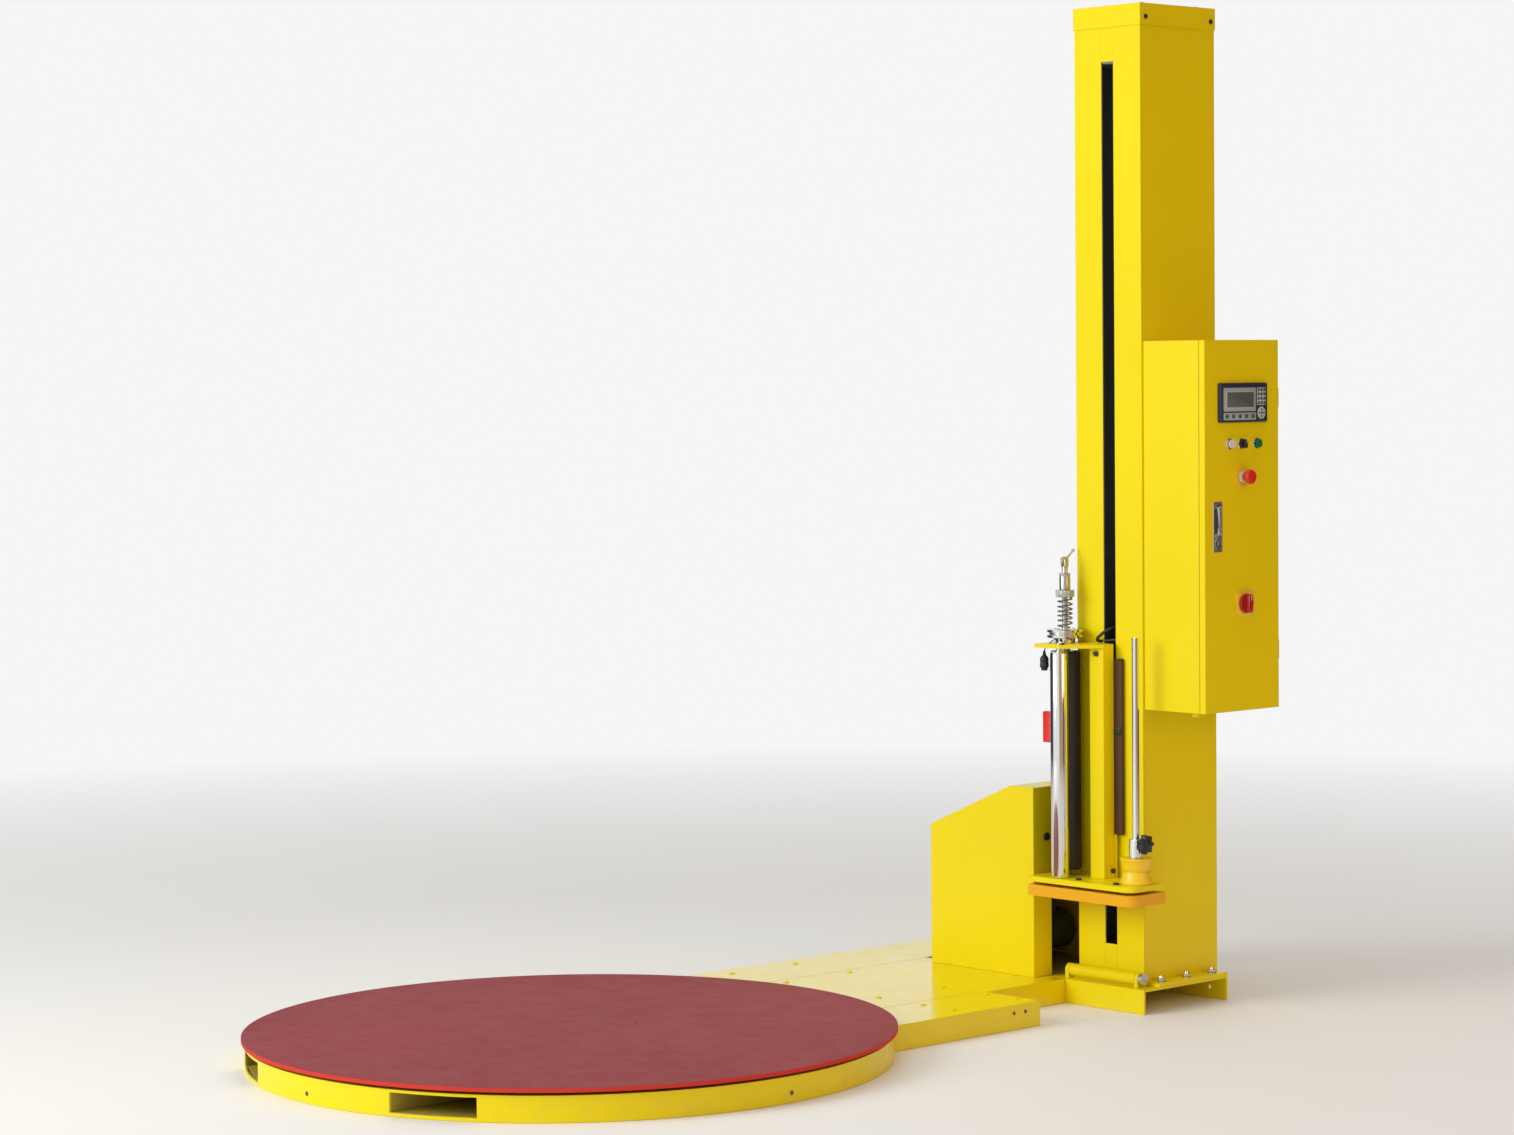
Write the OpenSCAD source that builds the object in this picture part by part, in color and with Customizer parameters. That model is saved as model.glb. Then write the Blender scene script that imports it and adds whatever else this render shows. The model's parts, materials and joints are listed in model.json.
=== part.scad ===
// Turntable pallet wrapper: a low turntable, a base deck with a chain drive under it, and a folding
// mast that carries the film carriage and the control box.
// The origin is on the floor under the turntable's axis. +X runs from the turntable to the mast, +Z is up.

/* [Turntable] */
// Radius of the turntable disc
table_r = 825; // [700:5:1000]
// Thickness of the turntable disc
table_t = 10; // [8:1:14]
// Height of the disc's top face above the floor
table_z = 82; // [78:1:92]
// Radial step from the disc's edge in to the ring skirt
ring_step = 10; // [4:1:20]
// Height of the ring skirt
ring_h = 64; // [62:1:66]
// Wall of the ring skirt
ring_t = 5; // [3:1:8]
// Radius of the circle of bolts that hold the disc
disc_bolt_circle = 170; // [150:5:185]
// Radius of the fixed post that the table hub turns on
hub_post_r = 30; // [20:1:40]
// Radius of the four support wheels
wheel_r = 25; // [20:1:28]
// Distance from the table's axis to each support wheel
wheel_path_r = 600; // [540:10:640]

/* [Fork pockets] */
// Clear width of each fork pocket
pocket_w = 200; // [160:5:220]
// Clear height of each fork pocket
pocket_h = 48; // [40:1:50]
// Distance between the inner sides of the two pockets
pocket_gap = 530; // [480:10:560]
// Wall of the pocket tubes
pocket_wall = 3; // [2:0.5:4]

/* [Base] */
// Height of the base rails, up to the underside of the deck
rail_h = 60; // [56:1:64]
// Width of the base rails
rail_w = 40; // [30:2:50]
// Thickness of the deck plates and of the plate under the mast
deck_t = 6; // [4:1:8]
// Distance from the table's axis to the deck's front edge
deck_front = 515; // [480:5:560]
// Distance from the table's axis to the deck's rear edge
deck_rear = 460; // [420:5:520]
// Length of the narrow neck between the wide deck and the mast
neck_len = 308; // [250:2:380]
// Sheet of the deck's side skirts
skirt_t = 6; // [3:1:8]

/* [Drive] */
// Chain pitch of both chains
chain_pitch = 12.7; // [12.7]
// Teeth of the sprocket on the table hub
table_teeth = 60; // [50:1:66]
// Teeth of the small sprockets
small_teeth = 20; // [15:1:22]
// Width of the motor cover along Y
cover_w = 393; // [360:1:420]
// Length of the motor cover along X
cover_len = 400; // [360:5:420]
// Height of the motor cover's flat top above the deck
cover_h = 520; // [440:5:620]
// Height of the motor cover's low side above the deck
cover_low_h = 391; // [360:1:430]

/* [Mast] */
// Distance from the disc's edge to the mast's front face
mast_gap = 721; // [620:1:860]
// Distance from the table's axis to the mast's middle, towards -Y
mast_offset = 434; // [430:1:450]
// Size of the mast along X
mast_depth = 300; // [290:5:360]
// Size of the mast along Y
mast_width = 236; // [230:2:280]
// Height of the mast's top above the floor, without its cap
mast_top = 2692; // [2300:10:3300]
// Wall of the mast
mast_wall = 5; // [4:1:6]
// Width of the slot that the carriage runs in
slot_w = 43; // [40:1:50]
// Radius of the two guide shafts in the mast
shaft_r = 15; // [12:1:16]
// Thickness of the mast's foot plate
foot_t = 10; // [8:1:12]
// Radius of the hinge pin at the mast's foot
hinge_pin_r = 10; // [8:1:11]

/* [Control box] */
// Width of the control box along X
box_w = 300; // [280:5:340]
// Depth of the control box without its door
box_d = 194; // [160:2:240]
// Height of the control box
box_h = 987; // [900:1:1100]
// Height of the control box's underside above the floor
box_z = 811; // [790:1:900]
// Thickness of the control box door
door_t = 19.5; // [18:0.5:24]

/* [Film carriage] */
// Height of the roller shelf's top above the floor at rest
shelf_z = 351; // [340:1:380]
// Length of the roller shelf along Y
shelf_len = 372; // [370:1:400]
// Clear height between the roller shelf and the top bracket
carriage_h = 623; // [560:1:760]
// Radius of the chrome roller
chrome_r = 25; // [20:1:26]
// Radius of the rubber roller
rubber_r = 41; // [36:1:42]
// Radius of the film mandrel rod
mandrel_r = 9.5; // [8:0.5:11]
// Height of the film mandrel rod above the shelf
mandrel_h = 659; // [560:1:790]
// Largest radius of the two film core cones
cone_r = 45; // [40:1:48]

/* [Hidden] */
$fn = 48;
// Radial clearance of a running fit, the gap between pieces that slide past, and a bolt's radial clearance
run_fit = 0.05;
gap = 0.3;
bolt_fit = 0.5;

yellow = [0.95, 0.86, 0.05];
maroon = [0.55, 0.2, 0.2];
steel = [0.75, 0.75, 0.77];
chrome = [0.86, 0.87, 0.88];
black = [0.08, 0.08, 0.09];
red = [0.8, 0.1, 0.08];
dark_brown = [0.24, 0.12, 0.1];
grey = [0.45, 0.46, 0.48];

// Turntable and base
table_bottom = table_z - table_t;
ring_r = table_r - ring_step;
deck_z = rail_h + deck_t;
wheel_z = table_bottom - gap - wheel_r;
wheel_w = 36;
wheel_axle_r = 6;
floor_bar_t = 6;
bar_half = 40;
post_top = table_bottom - 12;
hub_flange_r = disc_bolt_circle + 25;
hub_flange_t = 8;
disc_bolt_r = 5;
pocket_inner = pocket_gap / 2;
pocket_outer = pocket_inner + pocket_w;
pocket_z0 = floor_bar_t + pocket_wall;
pocket_z1 = pocket_z0 + pocket_h;
pocket_end = 300;
rail_y0 = 160;
rail_y1 = rail_y0 + rail_w;
seam_front = -300;
seam_rear = 215;
neck_front = 320;
seam_gap = 2;
screw_r = 4;
screw_head_r = 8;

// Mast foot and hinge
mast_x0 = table_r + mast_gap;
mast_x1 = mast_x0 + mast_depth;
mast_y0 = -mast_offset - mast_width / 2;
mast_y1 = -mast_offset + mast_width / 2;
foot_wing = 54;
foot_y0 = mast_y0 - foot_wing;
foot_y1 = mast_y1 + foot_wing;
cradle_x0 = mast_x0 - 62;
cradle_x1 = mast_x1 - 20;
foot_z0 = deck_z + gap;
foot_z1 = foot_z0 + foot_t;
hinge_r = hinge_pin_r + 7;
hinge_x = mast_x0 - 26;
hinge_z = deck_z + hinge_r + 4;
ear_t = 12;
ear_gap = 1;
foot_bolt_r = 6;
foot_bolt_step = 103;
foot_bolt_x = mast_x0 + 37;
foot_bolt_inset = 26;
deck_end = cradle_x0 - neck_len;

// Chain drive under the deck
cover_x0 = mast_x0 - 108;
cover_x1 = cover_x0 + cover_len;
cover_y0 = foot_y1 + 14;
cover_y1 = cover_y0 + cover_w;
cover_t = 2;
cover_slope_y = cover_y0 + 87;
cover_open_x = cover_x0 + 71;
drive_x = mast_x0 + 34;
drive_shaft_r = 12.5;
chain_z = 32;
plate_half = 5;
chain_slot = 5;
sprocket_t = 4.4;
chain_plate_t = 2;
table_pitch_r = chain_pitch / 2 / sin(180 / table_teeth);
small_pitch_r = chain_pitch / 2 / sin(180 / small_teeth);

// Mast inside
slot_z0 = 167;
slot_z1 = mast_top - 145;
cap_h = 58;
cap_t = 2;
cap_top = mast_top + 4;
shaft_x1 = mast_x0 + 52;
shaft_x2 = mast_x0 + 106;
shaft_z0 = 150;
shaft_z1 = mast_top - 150;
shelf_plate_t = 10;
lift_x = mast_x0 + 194;
lift_z0 = 280;
lift_z1 = mast_top - 212;
lift_shaft_r = 10;
bearing_r = 25;
bearing_t = 15;

// Control box
box_x0 = mast_x0 + 6;
box_x1 = box_x0 + box_w;
box_y0 = mast_y0 - box_d;
box_z1 = box_z + box_h;
box_wall = 2;
door_y1 = box_y0 - 1.5;
door_y0 = door_y1 - door_t;
door_mid_x = (box_x0 + box_x1) / 2;
knuckle_r = 6;
knuckle_h = 25;
knuckle_x = box_x1 + knuckle_r;
knuckle_y = (door_y0 + door_y1) / 2 + 1;
hinge_rod_r = 3;
hinge_low = box_z + 130;
hinge_high = box_z1 - 180;
panel_z = box_z1 - 166;
panel_w = 196;
panel_h = 105;
panel_t = 8;
panel_body_w = 176;
panel_body_h = 86;
button_z = box_z1 - 275;
button_x = [box_x0 + 98, box_x0 + 146, box_x0 + 208];
button_r = 12;
button_hole_r = 11;
estop_x = box_x0 + 151;
estop_z = box_z1 - 363;
switch_x = box_x0 + 155;
switch_z = box_z1 - 700;
latch_x = box_x0 + 50;
latch_z = box_z1 - 494;
latch_w = 36;
latch_h = 134;
latch_depth = 16;
paddle_t = 4;

// Film carriage
shelf_x0 = mast_x0 - 141;
shelf_x1 = mast_x0 - 6;
shelf_y1 = -260;
shelf_y0 = shelf_y1 - shelf_len;
shelf_t = 4;
shelf_lip = 15;
corner_r = 32;
bracket_z0 = shelf_z + carriage_h;
bracket_t = 10;
bracket_z1 = bracket_z0 + bracket_t;
post_w = 50;
post_x0 = mast_x0 - 54;
post_x1 = mast_x0 - 14;
post_wall = 3;
slider_x1 = mast_x0 - 4;
slider_w = 106;
slider_z0 = shelf_z + 118;
slider_z1 = bracket_z0 - 32;
sleeve_z0 = slider_z0 + 11;
sleeve_z1 = slider_z1 - 12;
sleeve_block_h = 50;
sleeve_half = 30;
tongue_w = 32;
chrome_x = mast_x0 - 114;
chrome_y = -353;
rubber_x = mast_x0 - 52;
rubber_y = -318;
journal_r = 8.5;
spindle_r = 8;
sleeve_r = 14;
tray_z1 = shelf_z - shelf_lip - 8;
tray_z0 = tray_z1 - 30;
tray_t = 3;
tray_bolt_r = 4;
tray_bolts = [[shelf_x0 + 25, shelf_y1 - 162], [shelf_x0 + 25, shelf_y1 - 297]];
brake_z = bracket_z1 + gap;
brake_hub_r = 27;
brake_disc_r = 50;
brake_hub_h = 13;
brake_disc_t = 9;
brake_groove = 6;
spring_z0 = brake_z + brake_hub_h + 2 * brake_disc_t + brake_groove + gap;
spring_h = 86;
spring_wire = 2.2;
spring_turns = 6;
nut_z = spring_z0 + spring_h + gap;
nut_r = 26;
nut_h = 19;
spindle_top = nut_z + nut_h + 46;
lever_z = spindle_top + 34;
lever_r = 13;
mandrel_x = mast_x0 - 64;
mandrel_y = -582;
waist_r = cone_r - 9;
cone_h = 34.5;
cone_rim = 5;
collar_r = 19;
collar_h = 50;
collar_z = shelf_z + 2 * (cone_h + gap) + gap;
collar_knob_z = collar_z + collar_h - 12;
collar_knob_r = 27;

// Route of the carriage cable, from the sleeve through the slot, once round above the top bracket, and
// down to its clip on the slider plate
cable_r = 4.5;
cable_points = let (x = mast_x0, y = -mast_offset, z = slider_z1) [
    [x + 24, y, sleeve_z1],
    [x + 21, y, z + 43],
    [x + 2, y, z + 73],
    [x - 26, y - 4, z + 84],
    [x - 48, y + 4, z + 78],
    [x - 60, y + 22, z + 62],
    [x - 55, y + 35, z + 50],
    [x - 42, y + 30, z + 47],
    [x - 34, y + 9, z + 49],
    [x - 26, y - 16, z + 50],
    [x - 17, y - 36, z + 39],
    [x - 10, y - 45, z + 20],
    [x - 9, y - 46, z + 3]
];
// Route of the thin lead, from its gland on the top bracket over the bracket's front edge to its plug
lead_r = 1.5;
lead_points = let (x = mast_x0, z = bracket_z1) [
    [x - 120, -372, z + 4],
    [x - 126, -360, z + 15],
    [x - 134, -338, z + 17],
    [x - 141, -314, z + 7],
    [x - 145, -296, z - 8],
    [x - 146, -288, z - 21]
];
plug_r = 12;
plug_h = 54;

// ---- Helpers ----

// A block between two corners, each axis given as [low, high]
module span(x, y, z) {
    translate([x[0], y[0], z[0]]) cube([x[1] - x[0], y[1] - y[0], z[1] - z[0]]);
}

// Round bars along each axis, from one end to the other
module bar_z(x, y, z0, z1, r) {
    translate([x, y, z0]) cylinder(h = z1 - z0, r = r);
}

module bar_y(x, z, y0, y1, r) {
    translate([x, y0, z]) rotate([-90, 0, 0]) cylinder(h = y1 - y0, r = r);
}

module bar_x(y, z, x0, x1, r) {
    translate([x0, y, z]) rotate([0, 90, 0]) cylinder(h = x1 - x0, r = r);
}

// Outline of a toothed wheel
function teeth_outline(teeth, root, tip) = [
    for (i = [0 : teeth - 1])
    for (p = [[-0.26, root], [-0.1, tip], [0.1, tip], [0.26, root]])
    p[1] * [cos(360 * (i + p[0]) / teeth), sin(360 * (i + p[0]) / teeth)]
];

module sprocket(teeth, pitch_r, t) {
    linear_extrude(t) polygon(teeth_outline(teeth, pitch_r - 4, pitch_r + 3.6));
}

// A smooth curve through a list of points
function curve_at(p, i, t) =
    let (n = len(p) - 1, a = p[max(i - 1, 0)], b = p[i], c = p[min(i + 1, n)], d = p[min(i + 2, n)])
    0.5 * (2 * b + (c - a) * t + (2 * a - 5 * b + 4 * c - d) * t * t
        + (3 * b - a - 3 * c + d) * t * t * t);
function smooth_path(p, steps) = [
    for (i = [0 : len(p) - 2]) for (s = [0 : steps - 1]) curve_at(p, i, s / steps),
    p[len(p) - 1]
];

function unit(v) = v / norm(v);
function tangents(p) = [
    for (i = [0 : len(p) - 1]) unit(p[min(i + 1, len(p) - 1)] - p[max(i - 1, 0)])
];
// Carries a side vector along the path without twisting
function carry(t, side, i) =
    i == len(t) ? [] : let (s = unit(side - (side * t[i]) * t[i])) concat([s], carry(t, s, i + 1));

// A round tube swept along a list of points
module tube_along(p, r, sides) {
    t = tangents(p);
    s = carry(t, [0.31, 0.95, 0.1], 0);
    rings = [
        for (i = [0 : len(p) - 1]) for (k = [0 : sides - 1])
        p[i] + r * (cos(360 * k / sides) * s[i] + sin(360 * k / sides) * cross(t[i], s[i]))
    ];
    walls = [
        for (i = [0 : len(p) - 2]) for (k = [0 : sides - 1])
        let (a = i * sides, b = a + sides, j = (k + 1) % sides)
        [a + k, b + k, b + j, a + j]
    ];
    first = [for (k = [0 : sides - 1]) k];
    last = [for (k = [sides - 1 : -1 : 0]) (len(p) - 1) * sides + k];
    polyhedron(points = rings, faces = concat([first], walls, [last]), convexity = 8);
}

// A hexagon bolt head with its washer, standing on z = 0
module hex_head(r) {
    cylinder(h = 1.5, r = 2 * r);
    cylinder(h = 1.5 + 1.3 * r, r = 1.7 * r, $fn = 6);
}

// ---- Base ----

// How far along one axis the ring skirt's inside is, at a distance along the other
function ring_reach(across) = sqrt(pow(ring_r - ring_t, 2) - across * across);

module pocket_space() {
    for (side = [-1, 1]) {
        y = side * (pocket_inner + pocket_outer) / 2;
        span([-ring_r - 20, pocket_end + 1], [y - pocket_w / 2, y + pocket_w / 2], [pocket_z0, pocket_z1]);
    }
}

// One fork pocket's tube before it is hollowed, its outer end cut aslant to follow the ring skirt
module pocket_tube(side) {
    y0 = pocket_inner - pocket_wall;
    y1 = pocket_outer + pocket_wall;
    translate([0, 0, pocket_z0 - pocket_wall]) linear_extrude(pocket_h + 2 * pocket_wall) polygon([
        [-ring_reach(y0), side * y0], [pocket_end, side * y0],
        [pocket_end, side * y1], [-ring_reach(y1), side * y1]
    ]);
}

module base_rails() {
    for (side = [-1, 1]) {
        y0 = side > 0 ? rail_y0 : -rail_y1;
        difference() {
            span([-ring_r + 40, cover_x1], [y0, y0 + rail_w], [0, rail_h]);
            span([-ring_r + 44, cover_x1 - 4], [y0 + 4, y0 + rail_w - 4], [4, rail_h - 4]);
        }
    }
}

// Beams across the rails that carry the deck's edges
module cross_beams() {
    for (x = [table_r + 65, deck_end - 46]) {
        span([x, x + rail_w], [-deck_front + skirt_t, -rail_y1], [rail_h - 40, rail_h]);
        span([x, x + rail_w], [rail_y1, deck_rear - skirt_t], [rail_h - 40, rail_h]);
    }
    span([cradle_x0 - rail_w, cradle_x0], [-neck_front + skirt_t, -rail_y1], [0, rail_h]);
    span([cradle_x0 - rail_w, cradle_x0], [rail_y1, deck_rear - skirt_t], [0, rail_h]);
}

module base_frame() {
    color(yellow) difference() {
        union() {
            base_rails();
            cross_beams();
            span([-bar_half, bar_half], [-ring_reach(bar_half), ring_reach(bar_half)], [0, floor_bar_t]);
            span([-ring_reach(rail_y0), wheel_path_r + 60], [-rail_y0, rail_y0], [0, floor_bar_t]);
            span([cradle_x0, cover_x1], [foot_y1, rail_y1], [rail_h, deck_z]);
            span([cradle_x0 - 5, cradle_x0 + 15], [foot_y1, -rail_y1 + 1], [rail_h - 20, rail_h]);
            for (side = [-1, 1]) pocket_tube(side);
            cylinder(h = post_top, r = hub_post_r);
        }
        pocket_space();
        bar_z(drive_x, 0, rail_h - 1, deck_z + 1, 52);
        for (p = deck_screw_places) bar_z(p[0], p[1], rail_h - 14, deck_z + 1, screw_r + bolt_fit);
    }
}

module table_ring() {
    color(yellow) difference() {
        union() {
            difference() {
                cylinder(h = ring_h, r = ring_r, $fn = 180);
                translate([0, 0, -1]) cylinder(h = ring_h + 2, r = ring_r - ring_t, $fn = 180);
            }
            difference() {
                translate([0, 0, ring_h - 3]) cylinder(h = 3, r = ring_r, $fn = 180);
                translate([0, 0, ring_h - 4]) cylinder(h = 5, r = ring_r - 30, $fn = 180);
            }
        }
        pocket_space();
        span([0, 2 * ring_r], [-deck_front - 2, deck_rear + 2], [-1, ring_h + 1]);
    }
}

// Folded skirts at the deck's outer edges
module deck_skirts() {
    z = [0, rail_h + 1];
    span([0, deck_end], [-deck_front, -deck_front + skirt_t], z);
    span([deck_end - skirt_t, deck_end], [-deck_front, -neck_front + skirt_t], z);
    span([deck_end - skirt_t, cradle_x0 - gap], [-neck_front, -neck_front + skirt_t], z);
    span([0, cover_x1], [deck_rear - skirt_t, deck_rear], z);
    span([cover_x1 - skirt_t, cover_x1], [rail_y1 + gap, deck_rear], z);
}

// Plates that close the deck, with their skirts, cut round the ring skirt
module deck_plates() {
    z = [rail_h, deck_z];
    color(yellow) difference() {
        union() {
            span([0, deck_end], [-deck_front, seam_front - seam_gap], z);
            span([0, deck_end], [seam_front, seam_rear], z);
            span([deck_end - 1, cradle_x0 - gap], [-neck_front, seam_rear], z);
            span([0, cover_x1], [seam_rear + seam_gap, deck_rear], z);
            deck_skirts();
        }
        translate([0, 0, -1]) cylinder(h = deck_z + 2, r = ring_r + 2, $fn = 180);
        span([cradle_x0 - gap, cover_x1], [0, rail_y1 + gap + 20], [rail_h - 1, deck_z + 1]);
        for (p = deck_screw_places) bar_z(p[0], p[1], rail_h - 1, deck_z + 1, screw_r + bolt_fit);
    }
}

deck_screw_places = [
    [table_r + 85, -deck_front + 60], [deck_end - 26, -deck_front + 60],
    [table_r + 85, -deck_front + 170], [deck_end - 26, -deck_front + 170],
    [table_r + 85, -rail_y0 - rail_w / 2], [deck_end - 26, -rail_y0 - rail_w / 2],
    [cradle_x0 - 60, -rail_y0 - rail_w / 2], [table_r + 85, rail_y0 + rail_w / 2],
    [deck_end - 26, rail_y0 + rail_w / 2], [table_r + 85, deck_rear - 60], [deck_end - 26, deck_rear - 60]
];

module cover_knob(x) {
    z = deck_z + cover_h - 137;
    bar_y(x, z, cover_y0, cover_y0 + cover_t + 6, 3);
    bar_y(x, z, cover_y0 - 7, cover_y0, 11);
}

module base_screws() {
    color(steel) for (p = deck_screw_places) {
        bar_z(p[0], p[1], rail_h - 12, deck_z, screw_r);
        bar_z(p[0], p[1], deck_z, deck_z + 3, screw_head_r);
    }
    color(black) {
        cover_knob(cover_x0 + 50);
        cover_knob(cover_x1 - 50);
    }
}

// A wheel's two ears, their foot and the axle, drawn for a wheel on +X
module wheel_mount() {
    x = wheel_path_r;
    in = wheel_w / 2 + 1;
    for (side = [-1, 1]) {
        x0 = side > 0 ? x + in : x - in - 5;
        difference() {
            union() {
                span([x0, x0 + 5], [-15, 15], [floor_bar_t, wheel_z]);
                bar_x(0, wheel_z, x0, x0 + 5, 15);
            }
            bar_x(0, wheel_z, x0 - 1, x0 + 6, wheel_axle_r + run_fit);
        }
    }
    bar_x(0, wheel_z, x - in - 9, x + in + 9, wheel_axle_r);
    for (side = [-1, 1]) {
        x0 = side > 0 ? x + in + 5 + gap : x - in - 9;
        difference() {
            bar_x(0, wheel_z, x0, x0 + 4 - gap, 10);
            bar_x(0, wheel_z, x0 - 1, x0 + 5, wheel_axle_r + run_fit);
        }
    }
}

module wheel_mounts() {
    color(steel) for (i = [0 : 3]) rotate([0, 0, 90 * i]) wheel_mount();
}

module support_wheel(i) {
    color(black) rotate([0, 0, 90 * (i - 1)]) difference() {
        bar_x(0, wheel_z, wheel_path_r - wheel_w / 2, wheel_path_r + wheel_w / 2, wheel_r);
        bar_x(0, wheel_z, wheel_path_r - wheel_w, wheel_path_r + wheel_w, wheel_axle_r + run_fit);
    }
}

// Gearbox and motor that drive the table; the output shaft belongs to the sprocket
module drive_motor() {
    color(grey) difference() {
        union() {
            bar_z(drive_x, 0, deck_z, deck_z + 12, 75);
            span([drive_x - 60, drive_x + 60], [-60, 60], [deck_z + 12, deck_z + 130]);
            bar_x(0, deck_z + 75, drive_x + 60, drive_x + 80, 70);
            bar_x(0, deck_z + 75, drive_x + 80, drive_x + 230, 58);
            span([drive_x + 110, drive_x + 180], [-30, 30], [deck_z + 120, deck_z + 160]);
        }
        bar_z(drive_x, 0, deck_z - 1, deck_z + 100, drive_shaft_r + run_fit);
    }
}

module drive_sprocket() {
    color(steel) {
        translate([drive_x, 0, chain_z - sprocket_t / 2]) sprocket(small_teeth, small_pitch_r, sprocket_t);
        bar_z(drive_x, 0, chain_z - 8, deck_z + 90, drive_shaft_r);
        bar_z(drive_x, 0, chain_z - 8, rail_h - 4, drive_shaft_r + 8);
    }
}

// One flat chain side plate round the two sprockets
module drive_chain_side(z) {
    translate([0, 0, z]) linear_extrude(chain_plate_t) difference() {
        hull() {
            circle(r = table_pitch_r + plate_half);
            translate([drive_x, 0]) circle(r = small_pitch_r + plate_half);
        }
        hull() {
            circle(r = table_pitch_r - plate_half);
            translate([drive_x, 0]) circle(r = small_pitch_r - plate_half);
        }
    }
}

// Chain from the table hub to the gearbox, its rollers drawn on the two straight runs
module drive_chain() {
    tilt = asin((table_pitch_r - small_pitch_r) / drive_x);
    rollers = 30;
    color(steel) {
        drive_chain_side(chain_z - chain_slot / 2 - chain_plate_t);
        drive_chain_side(chain_z + chain_slot / 2);
        for (side = [-1, 1]) for (i = [1 : rollers - 1]) {
            n = [sin(tilt), side * cos(tilt)];
            from = table_pitch_r * n;
            to = [drive_x, 0] + small_pitch_r * n;
            p = from + (to - from) * i / rollers;
            bar_z(p[0], p[1], chain_z - chain_slot / 2 - 1, chain_z + chain_slot / 2 + 1, 4);
        }
    }
}

// Sheet cover over the table drive, sloping down away from the mast
module cover_block(x0, x1, t, z0) {
    top = deck_z + cover_h;
    low = deck_z + cover_low_h;
    translate([x1, 0, 0]) rotate([0, -90, 0]) linear_extrude(x1 - x0) polygon([
        [z0, cover_y0 + t], [top - t, cover_y0 + t], [top - t, cover_slope_y],
        [low - t, cover_y1 - t], [z0, cover_y1 - t]
    ]);
}

module motor_cover() {
    color(yellow) difference() {
        cover_block(cover_x0, cover_x1, 0, deck_z + gap);
        cover_block(cover_x0 + cover_t, cover_x1 - cover_t, cover_t, deck_z - 5);
        span([cover_open_x, cover_x1 - 90], [cover_y0 - 5, cover_y0 + 10], [deck_z - 5, deck_z + 250]);
        for (x = [cover_x0 + 50, cover_x1 - 50]) {
            bar_y(x, deck_z + cover_h - 137, cover_y0 - 5, cover_y0 + 10, 3 + bolt_fit);
        }
    }
}

foot_bolt_places = [
    for (i = [0 : 2]) for (y = [foot_y0 + foot_bolt_inset, foot_y1 - foot_bolt_inset])
    [foot_bolt_x + i * foot_bolt_step, y]
];

// Folded plate under the mast, with the two hinge ears
module mast_base() {
    color(yellow) difference() {
        union() {
            span([cradle_x0, cradle_x0 + deck_t], [foot_y0, foot_y1], [0, deck_z]);
            span([cradle_x1 - deck_t, cradle_x1], [foot_y0, foot_y1], [0, deck_z]);
            span([cradle_x0, cradle_x1], [foot_y0, foot_y1], [rail_h, deck_z]);
            for (y = [mast_y0 - ear_gap - ear_t, mast_y1 + ear_gap]) {
                span([hinge_x - hinge_r, hinge_x + hinge_r], [y, y + ear_t], [deck_z - 1, hinge_z]);
                bar_y(hinge_x, hinge_z, y, y + ear_t, hinge_r);
            }
        }
        bar_y(hinge_x, hinge_z, foot_y0, foot_y1, hinge_pin_r + run_fit);
        for (p = foot_bolt_places) {
            r = foot_bolt_r + 1;
            bar_z(p[0], p[1], rail_h - 1, deck_z + 1, r);
            bar_z(p[0] + 8, p[1], rail_h - 1, deck_z + 1, r);
            span([p[0], p[0] + 8], [p[1] - r, p[1] + r], [rail_h - 1, deck_z + 1]);
        }
        bar_x(foot_y0 + 60, 30, cradle_x1 - 10, cradle_x1 + 1, 6);
    }
}

module hinge_pin() {
    y0 = mast_y0 - ear_gap - ear_t;
    y1 = mast_y1 + ear_gap + ear_t;
    color(steel) {
        bar_y(hinge_x, hinge_z, y0 - 5, y1 + 6, hinge_pin_r);
        bar_y(hinge_x, hinge_z, y0 - 11, y0, hinge_r - 0.5);
    }
}

// ---- Turntable ----

disc_bolt_places = [
    for (i = [0 : 5]) disc_bolt_circle * [cos(30 + 60 * i), sin(30 + 60 * i)]
];

module turntable_disc() {
    color(maroon) difference() {
        translate([0, 0, table_bottom]) cylinder(h = table_t, r = table_r, $fn = 180);
        for (p = disc_bolt_places) {
            bar_z(p[0], p[1], table_bottom - 1, table_z + 1, disc_bolt_r + bolt_fit);
            bar_z(p[0], p[1], table_z - 5, table_z + 1, disc_bolt_r + 4.5);
        }
    }
}

module table_hub() {
    color(steel) difference() {
        union() {
            bar_z(0, 0, table_bottom - hub_flange_t, table_bottom, hub_flange_r);
            bar_z(0, 0, floor_bar_t + gap, table_bottom, hub_post_r + 25);
            translate([0, 0, chain_z - sprocket_t / 2]) sprocket(table_teeth, table_pitch_r, sprocket_t);
        }
        bar_z(0, 0, 0, post_top + 1, hub_post_r + run_fit);
        for (p = disc_bolt_places) {
            bar_z(p[0], p[1], table_bottom - hub_flange_t - 1, table_z, disc_bolt_r + bolt_fit);
        }
    }
}

module disc_bolts() {
    color(black) for (p = disc_bolt_places) difference() {
        union() {
            bar_z(p[0], p[1], table_bottom - hub_flange_t, table_z - 5, disc_bolt_r);
            bar_z(p[0], p[1], table_z - 5, table_z - 0.5, disc_bolt_r + 4);
        }
        translate([p[0], p[1], table_z - 3]) cylinder(h = 4, r = 3.4, $fn = 6);
    }
}

// ---- Mast ----

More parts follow.
